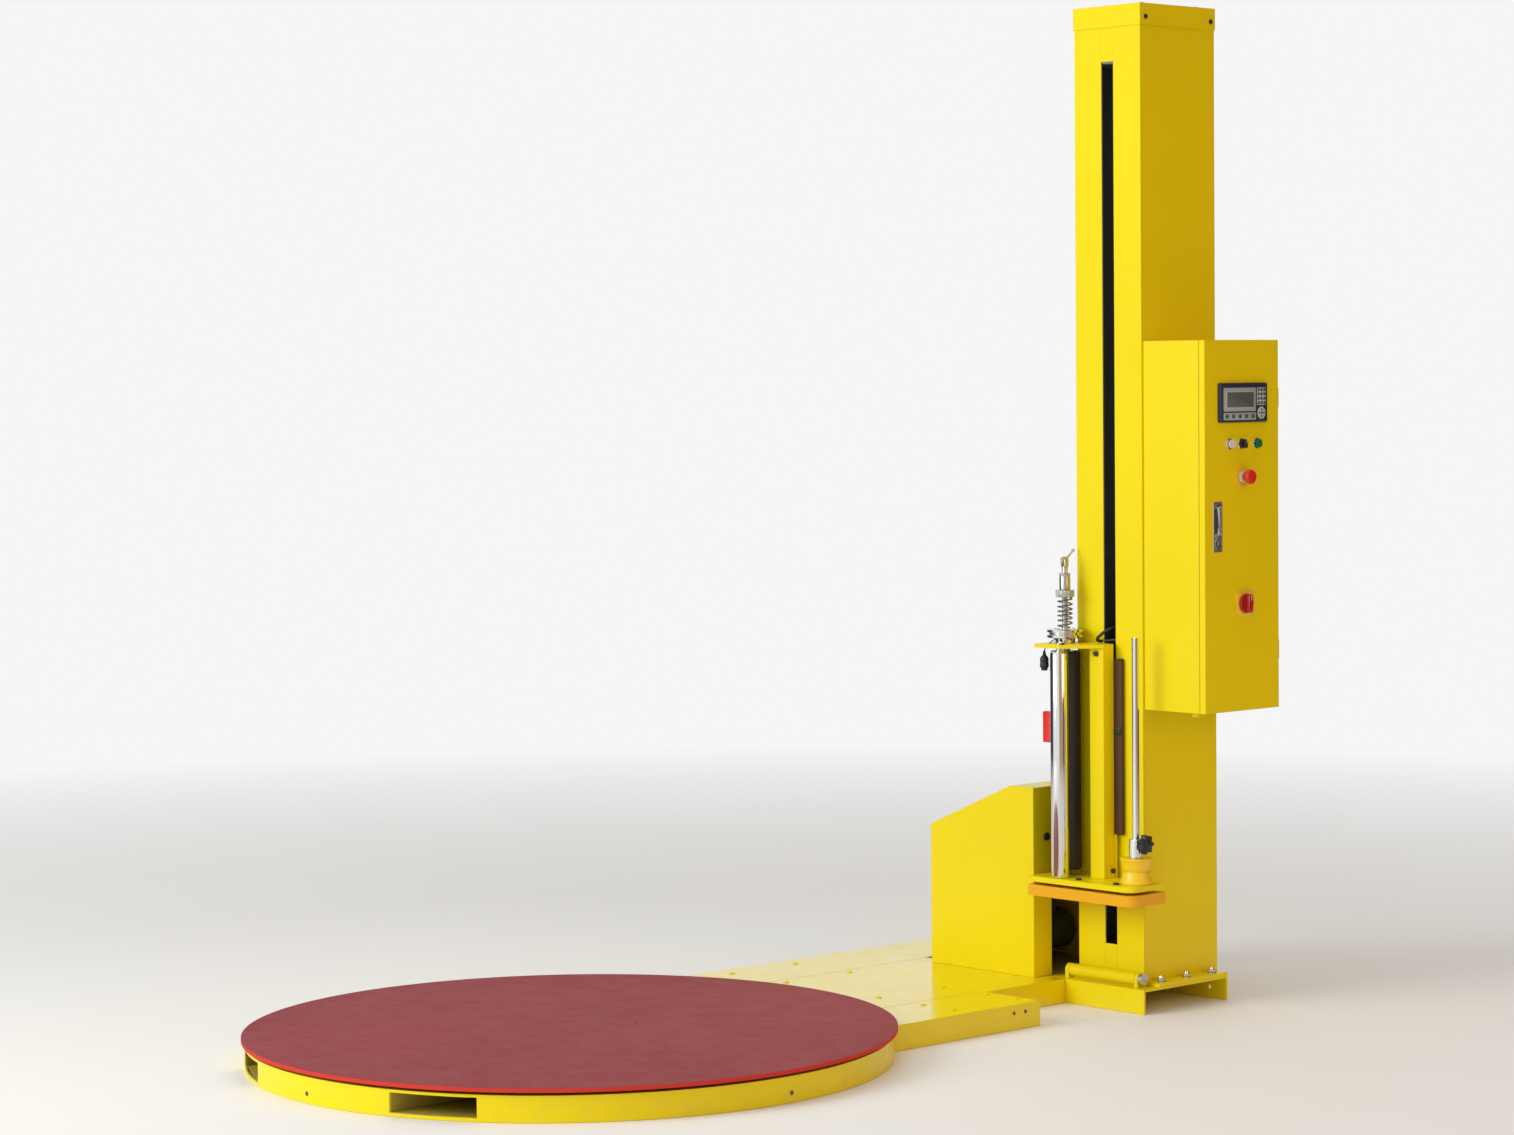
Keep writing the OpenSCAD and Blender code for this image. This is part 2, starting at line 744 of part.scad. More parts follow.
// Flat plates that hold the guide shafts inside the mast
module shaft_holder(z) {
    y = [mast_y0 + mast_wall - 1, mast_y1 - mast_wall + 1];
    difference() {
        span([mast_x0 + mast_wall + gap, shaft_x2 + 30], y, [z, z + shelf_plate_t]);
        for (x = [shaft_x1, shaft_x2]) bar_z(x, -mast_offset, z - 1, z + 20, shaft_r + run_fit);
    }
}

module bearing_boss(z, y0, y1) {
    bar_y(lift_x, z, y0, y1, bearing_r);
}

// Foot plate under the mast with the barrel of its hinge
module mast_foot() {
    z = [foot_z0, foot_z1];
    color(yellow) difference() {
        union() {
            span([mast_x0, cradle_x1], [foot_y0, foot_y1], z);
            span([cradle_x1 - 1, mast_x1], [mast_y0, mast_y1], z);
            span([hinge_x, mast_x0 + 1], [mast_y0, mast_y1], z);
            bar_y(hinge_x, hinge_z, mast_y0, mast_y1, hinge_r);
        }
        bar_y(hinge_x, hinge_z, mast_y0 - 1, mast_y1 + 1, hinge_pin_r + run_fit);
        for (p = foot_bolt_places) bar_z(p[0], p[1], foot_z0 - 1, foot_z1 + 1, foot_bolt_r + bolt_fit);
    }
}

// Column: a folded channel, two front plates beside the slot and a closing plate at each end of the slot
module mast_column() {
    in = mast_wall;
    z = [foot_z1, mast_top];
    front = [mast_x0, mast_x0 + in];
    color(yellow) difference() {
        union() {
            difference() {
                span([mast_x0 + in + gap, mast_x1], [mast_y0, mast_y1], z);
                span([mast_x0, mast_x1 - in], [mast_y0 + in, mast_y1 - in], [z[0] - 1, z[1] + 1]);
            }
            shaft_holder(shaft_z0);
            shaft_holder(shaft_z1);
            bearing_boss(lift_z0, mast_y0 + in - 1, mast_y0 + in + bearing_t);
            bearing_boss(lift_z1, mast_y0 + in - 1, mast_y0 + in + bearing_t);
            bearing_boss(lift_z1, mast_y1 - in - bearing_t, mast_y1 - in + 1);
        }
        for (z = [lift_z0, lift_z1]) {
            bar_y(lift_x, z, mast_y0 + in + 2, mast_y1 - in - 2, lift_shaft_r + run_fit);
        }
        for (p = cap_side_places) bar_y(p[0], p[1], mast_y0 - 1, mast_y0 + in + 1, 3 + bolt_fit);
    }
    color(yellow) {
        span(front, [mast_y0, slot_y[0]], z);
        span(front, [slot_y[1], mast_y1], z);
        for (end = [[foot_z1, slot_z0], [slot_z1, mast_top]]) {
            span(front, [slot_y[0] + gap, slot_y[1] - gap], end);
        }
    }
}

slot_y = [-mast_offset - slot_w / 2, -mast_offset + slot_w / 2];
cap_side_places = [for (x = [mast_x0 + 19, mast_x1 - 17]) [x, cap_top - 36]];
cap_top_places = [
    for (x = [mast_x0 + 40, mast_x1 - 40]) for (y = [mast_y0 + 30, mast_y1 - 30]) [x, y]
];

module mast_cap() {
    out = cap_t + gap;
    color(yellow) difference() {
        span([mast_x0 - out, mast_x1 + out], [mast_y0 - out, mast_y1 + out], [cap_top - cap_h, cap_top]);
        span([mast_x0 - gap, mast_x1 + gap], [mast_y0 - gap, mast_y1 + gap], [0, cap_top - cap_t]);
        for (p = cap_side_places) bar_y(p[0], p[1], mast_y0 - 5, mast_y0 + 1, 3 + bolt_fit);
        for (p = cap_top_places) bar_z(p[0], p[1], cap_top - 5, cap_top + 1, 3 + bolt_fit);
    }
}

module mast_bolts() {
    color(steel) {
        for (p = foot_bolt_places) {
            bar_z(p[0], p[1], rail_h + 1, foot_z1, foot_bolt_r);
            translate([p[0], p[1], foot_z1]) hex_head(foot_bolt_r);
            bar_z(p[0], p[1], foot_z1, foot_z1 + 16, foot_bolt_r);
        }
        for (p = cap_side_places) {
            bar_y(p[0], p[1], mast_y0 - cap_t - gap, mast_y0 + mast_wall + 4, 3);
            bar_y(p[0], p[1], mast_y0 - cap_t - gap - 4, mast_y0 - cap_t - gap, 6.5);
        }
        for (p = cap_top_places) {
            bar_z(p[0], p[1], cap_top - 12, cap_top, 3);
            bar_z(p[0], p[1], cap_top, cap_top + 5, 6.5);
        }
    }
}

module guide_shafts() {
    color(chrome) for (x = [shaft_x1, shaft_x2]) {
        bar_z(x, -mast_offset, shaft_z0, shaft_z1 + shelf_plate_t, shaft_r);
    }
}

// Gearbox and motor that lift the carriage, bolted inside the mast
module lift_motor() {
    y0 = -mast_offset + 14;
    y1 = mast_y1 - mast_wall;
    color(grey) difference() {
        union() {
            span([lift_x - 40, lift_x + 90], [y0, y1], [lift_z0 - 45, lift_z0 + 45]);
            bar_z(lift_x + 40, (y0 + y1) / 2, lift_z0 + 45, lift_z0 + 240, 44);
        }
        bar_y(lift_x, lift_z0, y0 - 1, y1 - 20, lift_shaft_r + run_fit);
    }
}

module lift_sprocket(z, y0, y1) {
    color(steel) {
        translate([lift_x, -mast_offset + sprocket_t / 2, z]) rotate([90, 0, 0])
            sprocket(small_teeth, small_pitch_r, sprocket_t);
        bar_y(lift_x, z, y0, y1, lift_shaft_r);
        bar_y(lift_x, z, -mast_offset - 9, -mast_offset + 9, lift_shaft_r + 8);
    }
}

module top_sprocket() {
    lift_sprocket(lift_z1, mast_y0 + mast_wall + 3, mast_y1 - mast_wall - 3);
}

module bottom_sprocket() {
    lift_sprocket(lift_z0, mast_y0 + mast_wall + 3, mast_y1 - mast_wall - 25);
}

// One flat side plate of the lift chain, as a long loop with round ends
module lift_loop(half, z0, z1) {
    translate([-half, z0]) square([2 * half, z1 - z0]);
    translate([0, z0]) circle(r = half);
    translate([0, z1]) circle(r = half);
}

module lift_chain_side(y) {
    translate([lift_x, y + chain_plate_t, 0]) rotate([90, 0, 0]) linear_extrude(chain_plate_t)
        difference() {
            lift_loop(small_pitch_r + plate_half, lift_z0, lift_z1);
            lift_loop(small_pitch_r - plate_half, lift_z0, lift_z1);
        }
}

module lift_chain() {
    rollers = 24;
    color(steel) {
        lift_chain_side(-mast_offset - chain_slot / 2 - chain_plate_t);
        lift_chain_side(-mast_offset + chain_slot / 2);
        for (side = [-1, 1]) for (i = [1 : rollers - 1]) {
            z = lift_z0 + (lift_z1 - lift_z0) * i / rollers;
            y = -mast_offset;
            bar_y(lift_x + side * small_pitch_r, z, y - chain_slot / 2 - 1, y + chain_slot / 2 + 1, 4);
        }
    }
}

// ---- Control box ----

// A lift-off hinge half that wraps the hinge axis, joined to x0
module knuckle(x0, x1, z, r) {
    bar_z(knuckle_x, knuckle_y, z, z + knuckle_h, r);
    span([x0, x1], [knuckle_y - 1.5, knuckle_y + 1.5], [z, z + knuckle_h]);
}

module control_box() {
    w = box_wall;
    color(yellow) {
        difference() {
            union() {
                span([box_x0, box_x1], [box_y0, mast_y0], [box_z, box_z1]);
                for (z = [hinge_low, hinge_high]) {
                    bar_z(knuckle_x, knuckle_y, z, z + knuckle_h, knuckle_r);
                    span([box_x1, box_x1 + 3], [box_y0 + 0.5, box_y0 + 40], [z, z + knuckle_h]);
                    span([box_x1, box_x1 + 3], [knuckle_y, box_y0 + 1], [z, z + knuckle_h]);
                    bar_z(knuckle_x, knuckle_y, z + knuckle_h, z + 2 * knuckle_h - 2, hinge_rod_r);
                }
                bar_z(box_x0 + 60, box_y0 + 60, box_z - 16, box_z, 14);
            }
            span([box_x0 + w, box_x1 - w], [box_y0 - 1, mast_y0 - w], [box_z + w, box_z1 - w]);
            bar_z(box_x0 + 60, box_y0 + 60, box_z - 20, box_z + 10, 8);
        }
    }
}

module door_holes() {
    y = [door_y0 - 1, door_y1 + 1];
    span([door_mid_x - 90, door_mid_x + 90], [door_y0 - 1, door_y0 + 10], [panel_z - 45, panel_z + 45]);
    for (x = button_x) bar_y(x, button_z, y[0], y[1], button_hole_r + bolt_fit);
    bar_y(estop_x, estop_z, y[0], y[1], button_hole_r + bolt_fit);
    bar_y(switch_x, switch_z, y[0], y[1], button_hole_r + bolt_fit);
    span([latch_x - 16, latch_x + 16], [door_y0 - 1, door_y0 + 5], [latch_z - 64, latch_z + 64]);
}

module box_door() {
    w = box_wall;
    color(yellow) difference() {
        union() {
            difference() {
                span([box_x0, box_x1], [door_y0, door_y1], [box_z, box_z1]);
                span([box_x0 + w, box_x1 - w], [door_y0 + w, door_y1 + 1], [box_z + w, box_z1 - w]);
            }
            for (z = [hinge_low, hinge_high]) {
                knuckle(box_x1 - 1, knuckle_x, z + knuckle_h + 0.5, knuckle_r);
            }
        }
        door_holes();
        for (z = [hinge_low, hinge_high]) {
            bar_z(knuckle_x, knuckle_y, z + knuckle_h, z + 2 * knuckle_h, hinge_rod_r + run_fit);
        }
    }
}

// Operator panel: bezel in front of the door, body behind it
module control_panel() {
    x = door_mid_x;
    color([0.14, 0.18, 0.25]) {
        difference() {
            span([x - panel_w / 2, x + panel_w / 2], [door_y0 - panel_t, door_y0],
                [panel_z - panel_h / 2, panel_z + panel_h / 2]);
            span([x - 75, x + 34], [door_y0 - panel_t - 1, door_y0 - panel_t + 1.5],
                [panel_z - 12, panel_z + 29]);
        }
        span([x - panel_body_w / 2, x + panel_body_w / 2], [door_y0, door_y0 + 38],
            [panel_z - panel_body_h / 2, panel_z + panel_body_h / 2]);
    }
}

module bezel(x, z) {
    difference() {
        union() {
            bar_y(x, z, door_y0 - 5, door_y0, 15);
            bar_y(x, z, door_y0, door_y0 + 30, button_hole_r);
        }
        bar_y(x, z, door_y0 - 6, door_y0 + 31, 9 + gap);
    }
}

// Chrome button bezels and the dished latch plate
module panel_fittings() {
    color(chrome) {
        for (x = button_x) bezel(x, button_z);
        difference() {
            union() {
                span([latch_x - latch_w / 2, latch_x + latch_w / 2], [door_y0 - 2, door_y0],
                    [latch_z - latch_h / 2, latch_z + latch_h / 2]);
                span([latch_x - 15, latch_x + 15], [door_y0, door_y0 + latch_depth],
                    [latch_z - 63, latch_z + 63]);
            }
            span([latch_x - 13, latch_x + 13], [door_y0 - 3, door_y0 + latch_depth - 2],
                [latch_z - 61, latch_z + 61]);
            bar_x(door_y0 + 4, latch_z + 52, latch_x - 20, latch_x + 20, 2.5 + run_fit);
        }
    }
}

// Yellow ring round the emergency stop and the square plate of the main switch
module warning_plates() {
    color(yellow) {
        difference() {
            union() {
                bar_y(estop_x, estop_z, door_y0 - 3, door_y0, 30);
                bar_y(estop_x, estop_z, door_y0, door_y0 + 30, button_hole_r);
            }
            bar_y(estop_x, estop_z, door_y0 - 4, door_y0 + 31, 9 + gap);
        }
        difference() {
            union() {
                span([switch_x - 36, switch_x + 36], [door_y0 - 6, door_y0],
                    [switch_z - 36, switch_z + 36]);
                bar_y(switch_x, switch_z, door_y0, door_y0 + 40, button_hole_r);
            }
            bar_y(switch_x, switch_z, door_y0 - 7, door_y0 + 30, 6 + run_fit);
        }
    }
}

module latch_paddle() {
    y = door_y0 + 4;
    color(chrome) {
        bar_x(y, latch_z + 52, latch_x - 15.5, latch_x + 15.5, 2.5);
        span([latch_x - 12, latch_x + 12], [y - paddle_t / 2, y + paddle_t / 2],
            [latch_z - 58, latch_z + 52]);
    }
}

module push_button(x, z, shade) {
    color(shade) {
        bar_y(x, z, door_y0 - 14, door_y0 - 9, button_r);
        bar_y(x, z, door_y0 - 14, door_y0 + 22, 9);
    }
}

module stop_button() {
    push_button(button_x[0], button_z, [0.9, 0.9, 0.88]);
}

module start_button() {
    push_button(button_x[2], button_z, [0.1, 0.5, 0.25]);
}

module selector_knob() {
    x = button_x[1];
    color(black) {
        bar_y(x, button_z, door_y0 - 9, door_y0 + 22, 9);
        bar_y(x, button_z, door_y0 - 12, door_y0 - 5.3, button_r);
        span([x - 4, x + 4], [door_y0 - 22, door_y0 - 11], [button_z - 12, button_z + 12]);
    }
}

module estop_button() {
    color(red) {
        bar_y(estop_x, estop_z, door_y0 - 22, door_y0 + 22, 9);
        translate([estop_x, door_y0 - 22, estop_z]) rotate([90, 0, 0]) cylinder(h = 14, r1 = 17, r2 = 20);
    }
}

module switch_handle() {
    y = door_y0 - 6 - gap;
    color(red) {
        bar_y(switch_x, switch_z, y - 8, y, 26);
        bar_y(switch_x, switch_z, y - 2, door_y0 + 24, 6);
        span([switch_x - 8, switch_x + 8], [y - 22, y - 7], [switch_z - 25, switch_z + 25]);
    }
}

// ---- Film carriage ----

// Rounded outline of the shelf and of the tray below it, moved in by an inset
module shelf_outline(inset) {
    x0 = shelf_x0 + inset;
    x1 = shelf_x1 - inset;
    y0 = shelf_y0 + inset;
    y1 = shelf_y1 - inset;
    r = corner_r - inset;
    translate([x0 + r, y0]) square([x1 - x0 - r, y1 - y0]);
    translate([x0, y0 + r]) square([r + 1, y1 - y0 - r]);
    translate([x0 + r, y0 + r]) circle(r = r);
}

module lift_sleeve() {
    y = -mast_offset;
    color(grey) difference() {
        union() {
            for (z = [sleeve_z0, sleeve_z1 - sleeve_block_h]) {
                span([shaft_x1 - 36, shaft_x2 + 24], [y - sleeve_half, y + sleeve_half],
                    [z, z + sleeve_block_h]);
            }
            span([shaft_x1 - 36, shaft_x1 - 20], [y - sleeve_half, y + sleeve_half], [sleeve_z0, sleeve_z1]);
            span([slider_x1, shaft_x1 - 30], [y - tongue_w / 2, y + tongue_w / 2],
                [sleeve_z0 + 10, sleeve_z1 - 10]);
            span([shaft_x2 + 20, lift_x - small_pitch_r - plate_half - gap], [y - 8, y + 8],
                [sleeve_z0, sleeve_z0 + sleeve_block_h]);
        }
        for (x = [shaft_x1, shaft_x2]) bar_z(x, y, sleeve_z0 - 1, sleeve_z1 + 1, shaft_r + run_fit);
    }
}

module slider_plate() {
    y = -mast_offset;
    color(dark_brown) difference() {
        span([post_x1, slider_x1], [y - slider_w / 2, y + slider_w / 2], [slider_z0, slider_z1]);
        span([post_x1 - 1, post_x1 + 2], [y - slider_w, y + slider_w], [slider_z1 - 203, slider_z1 - 181]);
    }
}

// Upright of the carriage: a tube with a plate behind it, a tab on the shelf and the bracket on top
module carriage_post() {
    y = -mast_offset;
    h = post_w / 2;
    color(yellow) {
        difference() {
            span([post_x0, post_x1], [y - h, y + h], [shelf_z, bracket_z0]);
            span([post_x0 + post_wall, post_x1 - post_wall], [y - h + post_wall, y + h - post_wall],
                [shelf_z - 1, bracket_z0 + 1]);
            bar_x(y, bracket_z0 - 15, post_x0 - 1, post_x0 + post_wall + 1, 4 + bolt_fit);
        }
        span([post_x1 - 1, post_x1 + 4], [y - h - 8, y + h + 8], [shelf_z, slider_z0 - gap]);
        difference() {
            span([post_x0 + 14, post_x1 + 4], [y - h - 4, y - h + 1], [shelf_z, shelf_z + 34]);
            bar_y(post_x0 + 28, shelf_z + 20, y - h - 5, y - h + 4, 4 + bolt_fit);
        }
        top_bracket();
    }
}

// Plate on top of the upright that holds the rollers' upper ends
module top_bracket() {
    y0 = -mast_offset - post_w / 2;
    y1 = shelf_y1 - 17;
    difference() {
        translate([0, 0, bracket_z0]) linear_extrude(bracket_t) polygon([
            [shelf_x0 + 4, y1 - 6], [shelf_x0 + 4, y0 + 84], [post_x0, y0], [post_x1, y0],
            [slider_x1, y0 + 50], [slider_x1, y1 - 10], [slider_x1 - 30, y1]
        ]);
        bar_z(chrome_x, chrome_y, bracket_z0 - 1, bracket_z1 + 1, journal_r + run_fit);
        bar_z(rubber_x, rubber_y, bracket_z0 - 1, bracket_z1 + 1, sleeve_r + run_fit);
    }
}

module roller_shelf() {
    color(yellow) difference() {
        union() {
            translate([0, 0, shelf_z - shelf_t]) linear_extrude(shelf_t) shelf_outline(0);
            translate([0, 0, shelf_z - shelf_lip]) linear_extrude(shelf_lip - 1) difference() {
                shelf_outline(0);
                shelf_outline(shelf_t);
            }
        }
        bar_z(chrome_x, chrome_y, shelf_z - 10, shelf_z + 1, journal_r + run_fit);
        bar_z(rubber_x, rubber_y, shelf_z - 10, shelf_z + 1, spindle_r + run_fit);
        bar_z(mandrel_x, mandrel_y, shelf_z - 10, shelf_z + 1, mandrel_r + run_fit);
        for (p = tray_bolts) bar_z(p[0], p[1], shelf_z - 10, shelf_z + 1, tray_bolt_r + run_fit);
    }
}

// Safety tray that lifts and stops the carriage if it comes down on something
module bumper_tray() {
    color(yellow) difference() {
        translate([0, 0, tray_z0]) linear_extrude(tray_z1 - tray_z0) shelf_outline(-1);
        translate([0, 0, tray_z0 - 1]) linear_extrude(tray_z1 - tray_z0 - tray_t + 1)
            shelf_outline(tray_t - 1);
        for (p = tray_bolts) bar_z(p[0], p[1], tray_z0, tray_z1 + 1, tray_bolt_r + bolt_fit);
    }
}

module chrome_roller() {
    color(chrome) {
        bar_z(chrome_x, chrome_y, shelf_z + gap, bracket_z0 - 11, chrome_r);
        bar_z(chrome_x, chrome_y, shelf_z - shelf_lip + 2, bracket_z1 + 4, journal_r);
    }
}

module rubber_roller() {
    color([0.2, 0.2, 0.21]) difference() {
        union() {
            bar_z(rubber_x, rubber_y, shelf_z + 15, bracket_z0 - 12, rubber_r);
            bar_z(rubber_x, rubber_y, shelf_z + 4, bracket_z1 + gap, sleeve_r);
        }
        bar_z(rubber_x, rubber_y, shelf_z, bracket_z1 + 5, spindle_r + run_fit);
    }
}

// Brake hub and its two grooved discs, keyed to the rubber roller
module brake_discs() {
    z1 = brake_z + brake_hub_h;
    z2 = z1 + brake_disc_t + brake_groove;
    color(chrome) difference() {
        union() {
            bar_z(rubber_x, rubber_y, brake_z, z1, brake_hub_r);
            bar_z(rubber_x, rubber_y, z1, z1 + brake_disc_t, brake_disc_r);
            bar_z(rubber_x, rubber_y, z1, z2 + 1, brake_disc_r - 6);
            bar_z(rubber_x, rubber_y, z2, z2 + brake_disc_t, brake_disc_r);
        }
        bar_z(rubber_x, rubber_y, brake_z - 1, spring_z0 + 1, spindle_r + run_fit);
    }
}

// Fixed spindle that carries the rubber roller and the brake, with its nut under the shelf
module brake_spindle() {
    color(steel) difference() {
        union() {
            bar_z(rubber_x, rubber_y, shelf_z - shelf_lip + 2, spindle_top, spindle_r);
            bar_z(rubber_x, rubber_y, nut_z + nut_h + gap, spindle_top, spindle_r + 7);
            bar_z(rubber_x, rubber_y, spindle_top - 1, lever_z + 6, 9);
            bar_z(rubber_x, rubber_y, shelf_z - shelf_t - 8, shelf_z - shelf_t, 14);
            bar_z(rubber_x, rubber_y, shelf_z, shelf_z + 4 - gap, sleeve_r - 1);
        }
        span([rubber_x - 20, rubber_x + 20], [rubber_y - 4.3, rubber_y + 4.3],
            [lever_z - lever_r - 3, lever_z + 7]);
        bar_y(rubber_x, lever_z, rubber_y - 20, rubber_y + 20, 3 + run_fit);
    }
}

module brake_spring() {
    r = 19;
    steps = 16;
    p = [
        for (i = [0 : spring_turns * steps])
        let (a = 360 * i / steps, h = spring_h - 2 * spring_wire)
        [rubber_x + r * cos(a), rubber_y + r * sin(a), spring_z0 + spring_wire + h * i / spring_turns / steps]
    ];
    color(steel) tube_along(p, spring_wire, 8);
}

module brake_nut() {
    color(chrome) difference() {
        bar_z(rubber_x, rubber_y, nut_z, nut_z + nut_h, nut_r);
        bar_z(rubber_x, rubber_y, nut_z - 1, nut_z + nut_h + 1, spindle_r + run_fit);
    }
}

// Cam lever in the fork at the top of the spindle
module brake_lever() {
    color(grey) {
        bar_y(rubber_x, lever_z, rubber_y - 4, rubber_y + 4, lever_r);
        bar_y(rubber_x, lever_z, rubber_y - 13, rubber_y + 13, 3);
        translate([rubber_x, rubber_y, lever_z]) rotate([0, 52, 0]) cylinder(h = 46, r = 3.2);
        translate([rubber_x, rubber_y, lever_z]) rotate([0, 52, 0]) translate([0, 0, 42]) sphere(r = 4.5);
    }
}

module mandrel_rod() {
    color(chrome) {
        bar_z(mandrel_x, mandrel_y, shelf_z - shelf_lip + 2, shelf_z + mandrel_h, mandrel_r);
        bar_z(mandrel_x, mandrel_y, shelf_z - shelf_t - 8, shelf_z - shelf_t, 15);
    }
}

// A film core cone between two radii, with a short straight rim at its wide end
module cone(z, r1, r2) {
    rim_z = r1 > r2 ? 0 : cone_h - cone_rim;
    color(yellow) translate([mandrel_x, mandrel_y, z]) difference() {
        union() {
            cylinder(h = cone_h, r1 = r1, r2 = r2);
            translate([0, 0, rim_z]) cylinder(h = cone_rim, r = max(r1, r2));
        }
        translate([0, 0, -1]) cylinder(h = cone_h + 2, r = mandrel_r + run_fit);
    }
}

module lower_cone() {
    cone(shelf_z + gap, cone_r, waist_r);
}

module upper_cone() {
    cone(shelf_z + gap + cone_h + gap, waist_r, cone_r - 1);
}

module mandrel_collar() {
    x = mandrel_x;
    y = mandrel_y;
    color(chrome) difference() {
        union() {
            bar_z(x, y, collar_z, collar_z + collar_h, collar_r);
            bar_y(x, collar_knob_z, y - collar_r - 4, y, 8);
        }
        bar_z(x, y, collar_z - 1, collar_z + collar_h + 1, mandrel_r + run_fit);
        bar_y(x, collar_knob_z, y - collar_r - 5, y - mandrel_r, 4 + run_fit);
    }
}

// Star knob whose screw clamps the collar to the rod
module collar_knob() {
    y1 = mandrel_y - collar_r - 4 - gap;
    color(black) {
        bar_y(mandrel_x, collar_knob_z, y1 - 10, mandrel_y - mandrel_r - 1, 4);
        bar_y(mandrel_x, collar_knob_z, y1 - 22, y1, collar_knob_r - 9);
        for (i = [0 : 6]) {
            a = 360 * i / 7;
            x = mandrel_x + (collar_knob_r - 8) * cos(a);
            bar_y(x, collar_knob_z + (collar_knob_r - 8) * sin(a), y1 - 20, y1 - 3, 8);
        }
    }
}

// Height sensor on its rod behind the chrome roller
module height_sensor() {
    z0 = shelf_z + 365;
    color(red) {
        span([chrome_x - 2, chrome_x + 16], [chrome_y + 31, chrome_y + 61], [z0, z0 + 84]);
        bar_z(chrome_x + 10, chrome_y + 31, shelf_z, z0 + 70, 4);
    }
}

module carriage_cable() {
    color(black) tube_along(smooth_path(cable_points, 4), cable_r, 10);
}

module sensor_lead() {
    color(black) tube_along(smooth_path(lead_points, 5), lead_r, 8);
}

module lead_plug() {
    p = lead_points[len(lead_points) - 1];
    color(black) translate([p[0], p[1], p[2] - plug_h]) {
        cylinder(h = 8, r1 = plug_r - 5, r2 = plug_r);
        translate([0, 0, 8]) cylinder(h = plug_h - 20, r = plug_r);
        translate([0, 0, plug_h - 12]) cylinder(h = 12, r1 = plug_r, r2 = 5);
    }
}

// Screws and nuts of the carriage, the tray's guide bolts, the lead's gland and the cable's clip
module carriage_screws() {
    y = -mast_offset;
    clip = cable_points[len(cable_points) - 1];
    gland = lead_points[0];
    color(black) {
        bar_x(y, bracket_z0 - 15, post_x0 - 6, post_x0, 7);
        bar_x(y, bracket_z0 - 15, post_x0, post_x0 + post_wall + 4, 4);
        bar_y(post_x0 + 28, shelf_z + 20, y - post_w / 2 - 9, y - post_w / 2 - 4, 7);
        bar_y(post_x0 + 28, shelf_z + 20, y - post_w / 2 - 4, y - post_w / 2 - 0.5, 4);
        for (p = tray_bolts) {
            bar_z(p[0], p[1], shelf_z, shelf_z + 5, 8);
            bar_z(p[0], p[1], tray_z1 - tray_t - 8, shelf_z, tray_bolt_r);
            bar_z(p[0], p[1], tray_z1 - tray_t - 8, tray_z1 - tray_t - gap, 8);
        }
        span([clip[0] - 4, clip[0] + 4], [clip[1] - 6, clip[1] + 6], [slider_z1, clip[2]]);
        bar_z(gland[0], gland[1], bracket_z1, gland[2], 5);
    }
}

base_frame();
table_ring();
deck_plates();
base_screws();
wheel_mounts();
drive_motor();
motor_cover();
drive_chain();
mast_base();
hinge_pin();
turntable_disc();
table_hub();
disc_bolts();
support_wheel(1);  // support_wheel_1
support_wheel(2);  // support_wheel_2
support_wheel(3);  // support_wheel_3
support_wheel(4);  // support_wheel_4
drive_sprocket();
mast_foot();
mast_column();
mast_cap();
mast_bolts();
guide_shafts();
lift_motor();
lift_chain();
top_sprocket();
bottom_sprocket();
control_box();
box_door();
control_panel();
panel_fittings();
warning_plates();
latch_paddle();
stop_button();
start_button();
selector_knob();
estop_button();
switch_handle();
lift_sleeve();
slider_plate();
carriage_post();
roller_shelf();
bumper_tray();
chrome_roller();
rubber_roller();
brake_discs();
brake_spindle();
brake_spring();
brake_nut();
brake_lever();
mandrel_rod();
lower_cone();
upper_cone();
mandrel_collar();
collar_knob();
height_sensor();
carriage_cable();
sensor_lead();
lead_plug();
carriage_screws();
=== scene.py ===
import json
import math

import bmesh
import bpy
from mathutils import Matrix, Vector


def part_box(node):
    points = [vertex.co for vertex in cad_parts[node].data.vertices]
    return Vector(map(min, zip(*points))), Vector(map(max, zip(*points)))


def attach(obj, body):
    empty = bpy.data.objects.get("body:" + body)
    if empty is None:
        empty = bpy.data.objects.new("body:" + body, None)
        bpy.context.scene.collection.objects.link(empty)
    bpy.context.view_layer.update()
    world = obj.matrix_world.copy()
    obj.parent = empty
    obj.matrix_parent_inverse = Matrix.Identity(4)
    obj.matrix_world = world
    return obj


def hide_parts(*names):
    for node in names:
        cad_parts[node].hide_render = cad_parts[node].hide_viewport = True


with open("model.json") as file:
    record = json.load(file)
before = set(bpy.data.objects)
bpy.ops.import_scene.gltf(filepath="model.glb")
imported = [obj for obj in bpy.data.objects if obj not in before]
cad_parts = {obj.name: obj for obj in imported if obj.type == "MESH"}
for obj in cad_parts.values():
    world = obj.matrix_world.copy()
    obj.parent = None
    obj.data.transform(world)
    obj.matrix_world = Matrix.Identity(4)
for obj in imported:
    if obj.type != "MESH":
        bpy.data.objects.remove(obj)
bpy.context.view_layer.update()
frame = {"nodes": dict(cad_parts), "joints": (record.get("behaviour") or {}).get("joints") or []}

# Looks for the turntable pallet wrapper. All lengths are in metres, in the CAD frame:
# +X runs from the turntable to the mast, +Z is up, the control box is on the -Y side.

NODES = frame["nodes"]
JOINTS = {j["name"]: j for j in frame["joints"]}
X, Y, Z = Vector((1, 0, 0)), Vector((0, 1, 0)), Vector((0, 0, 1))
BRACKET_T = 0.010


# ---- Materials ----

def wire(tree, start, end):
    tree.links.new(start, end)


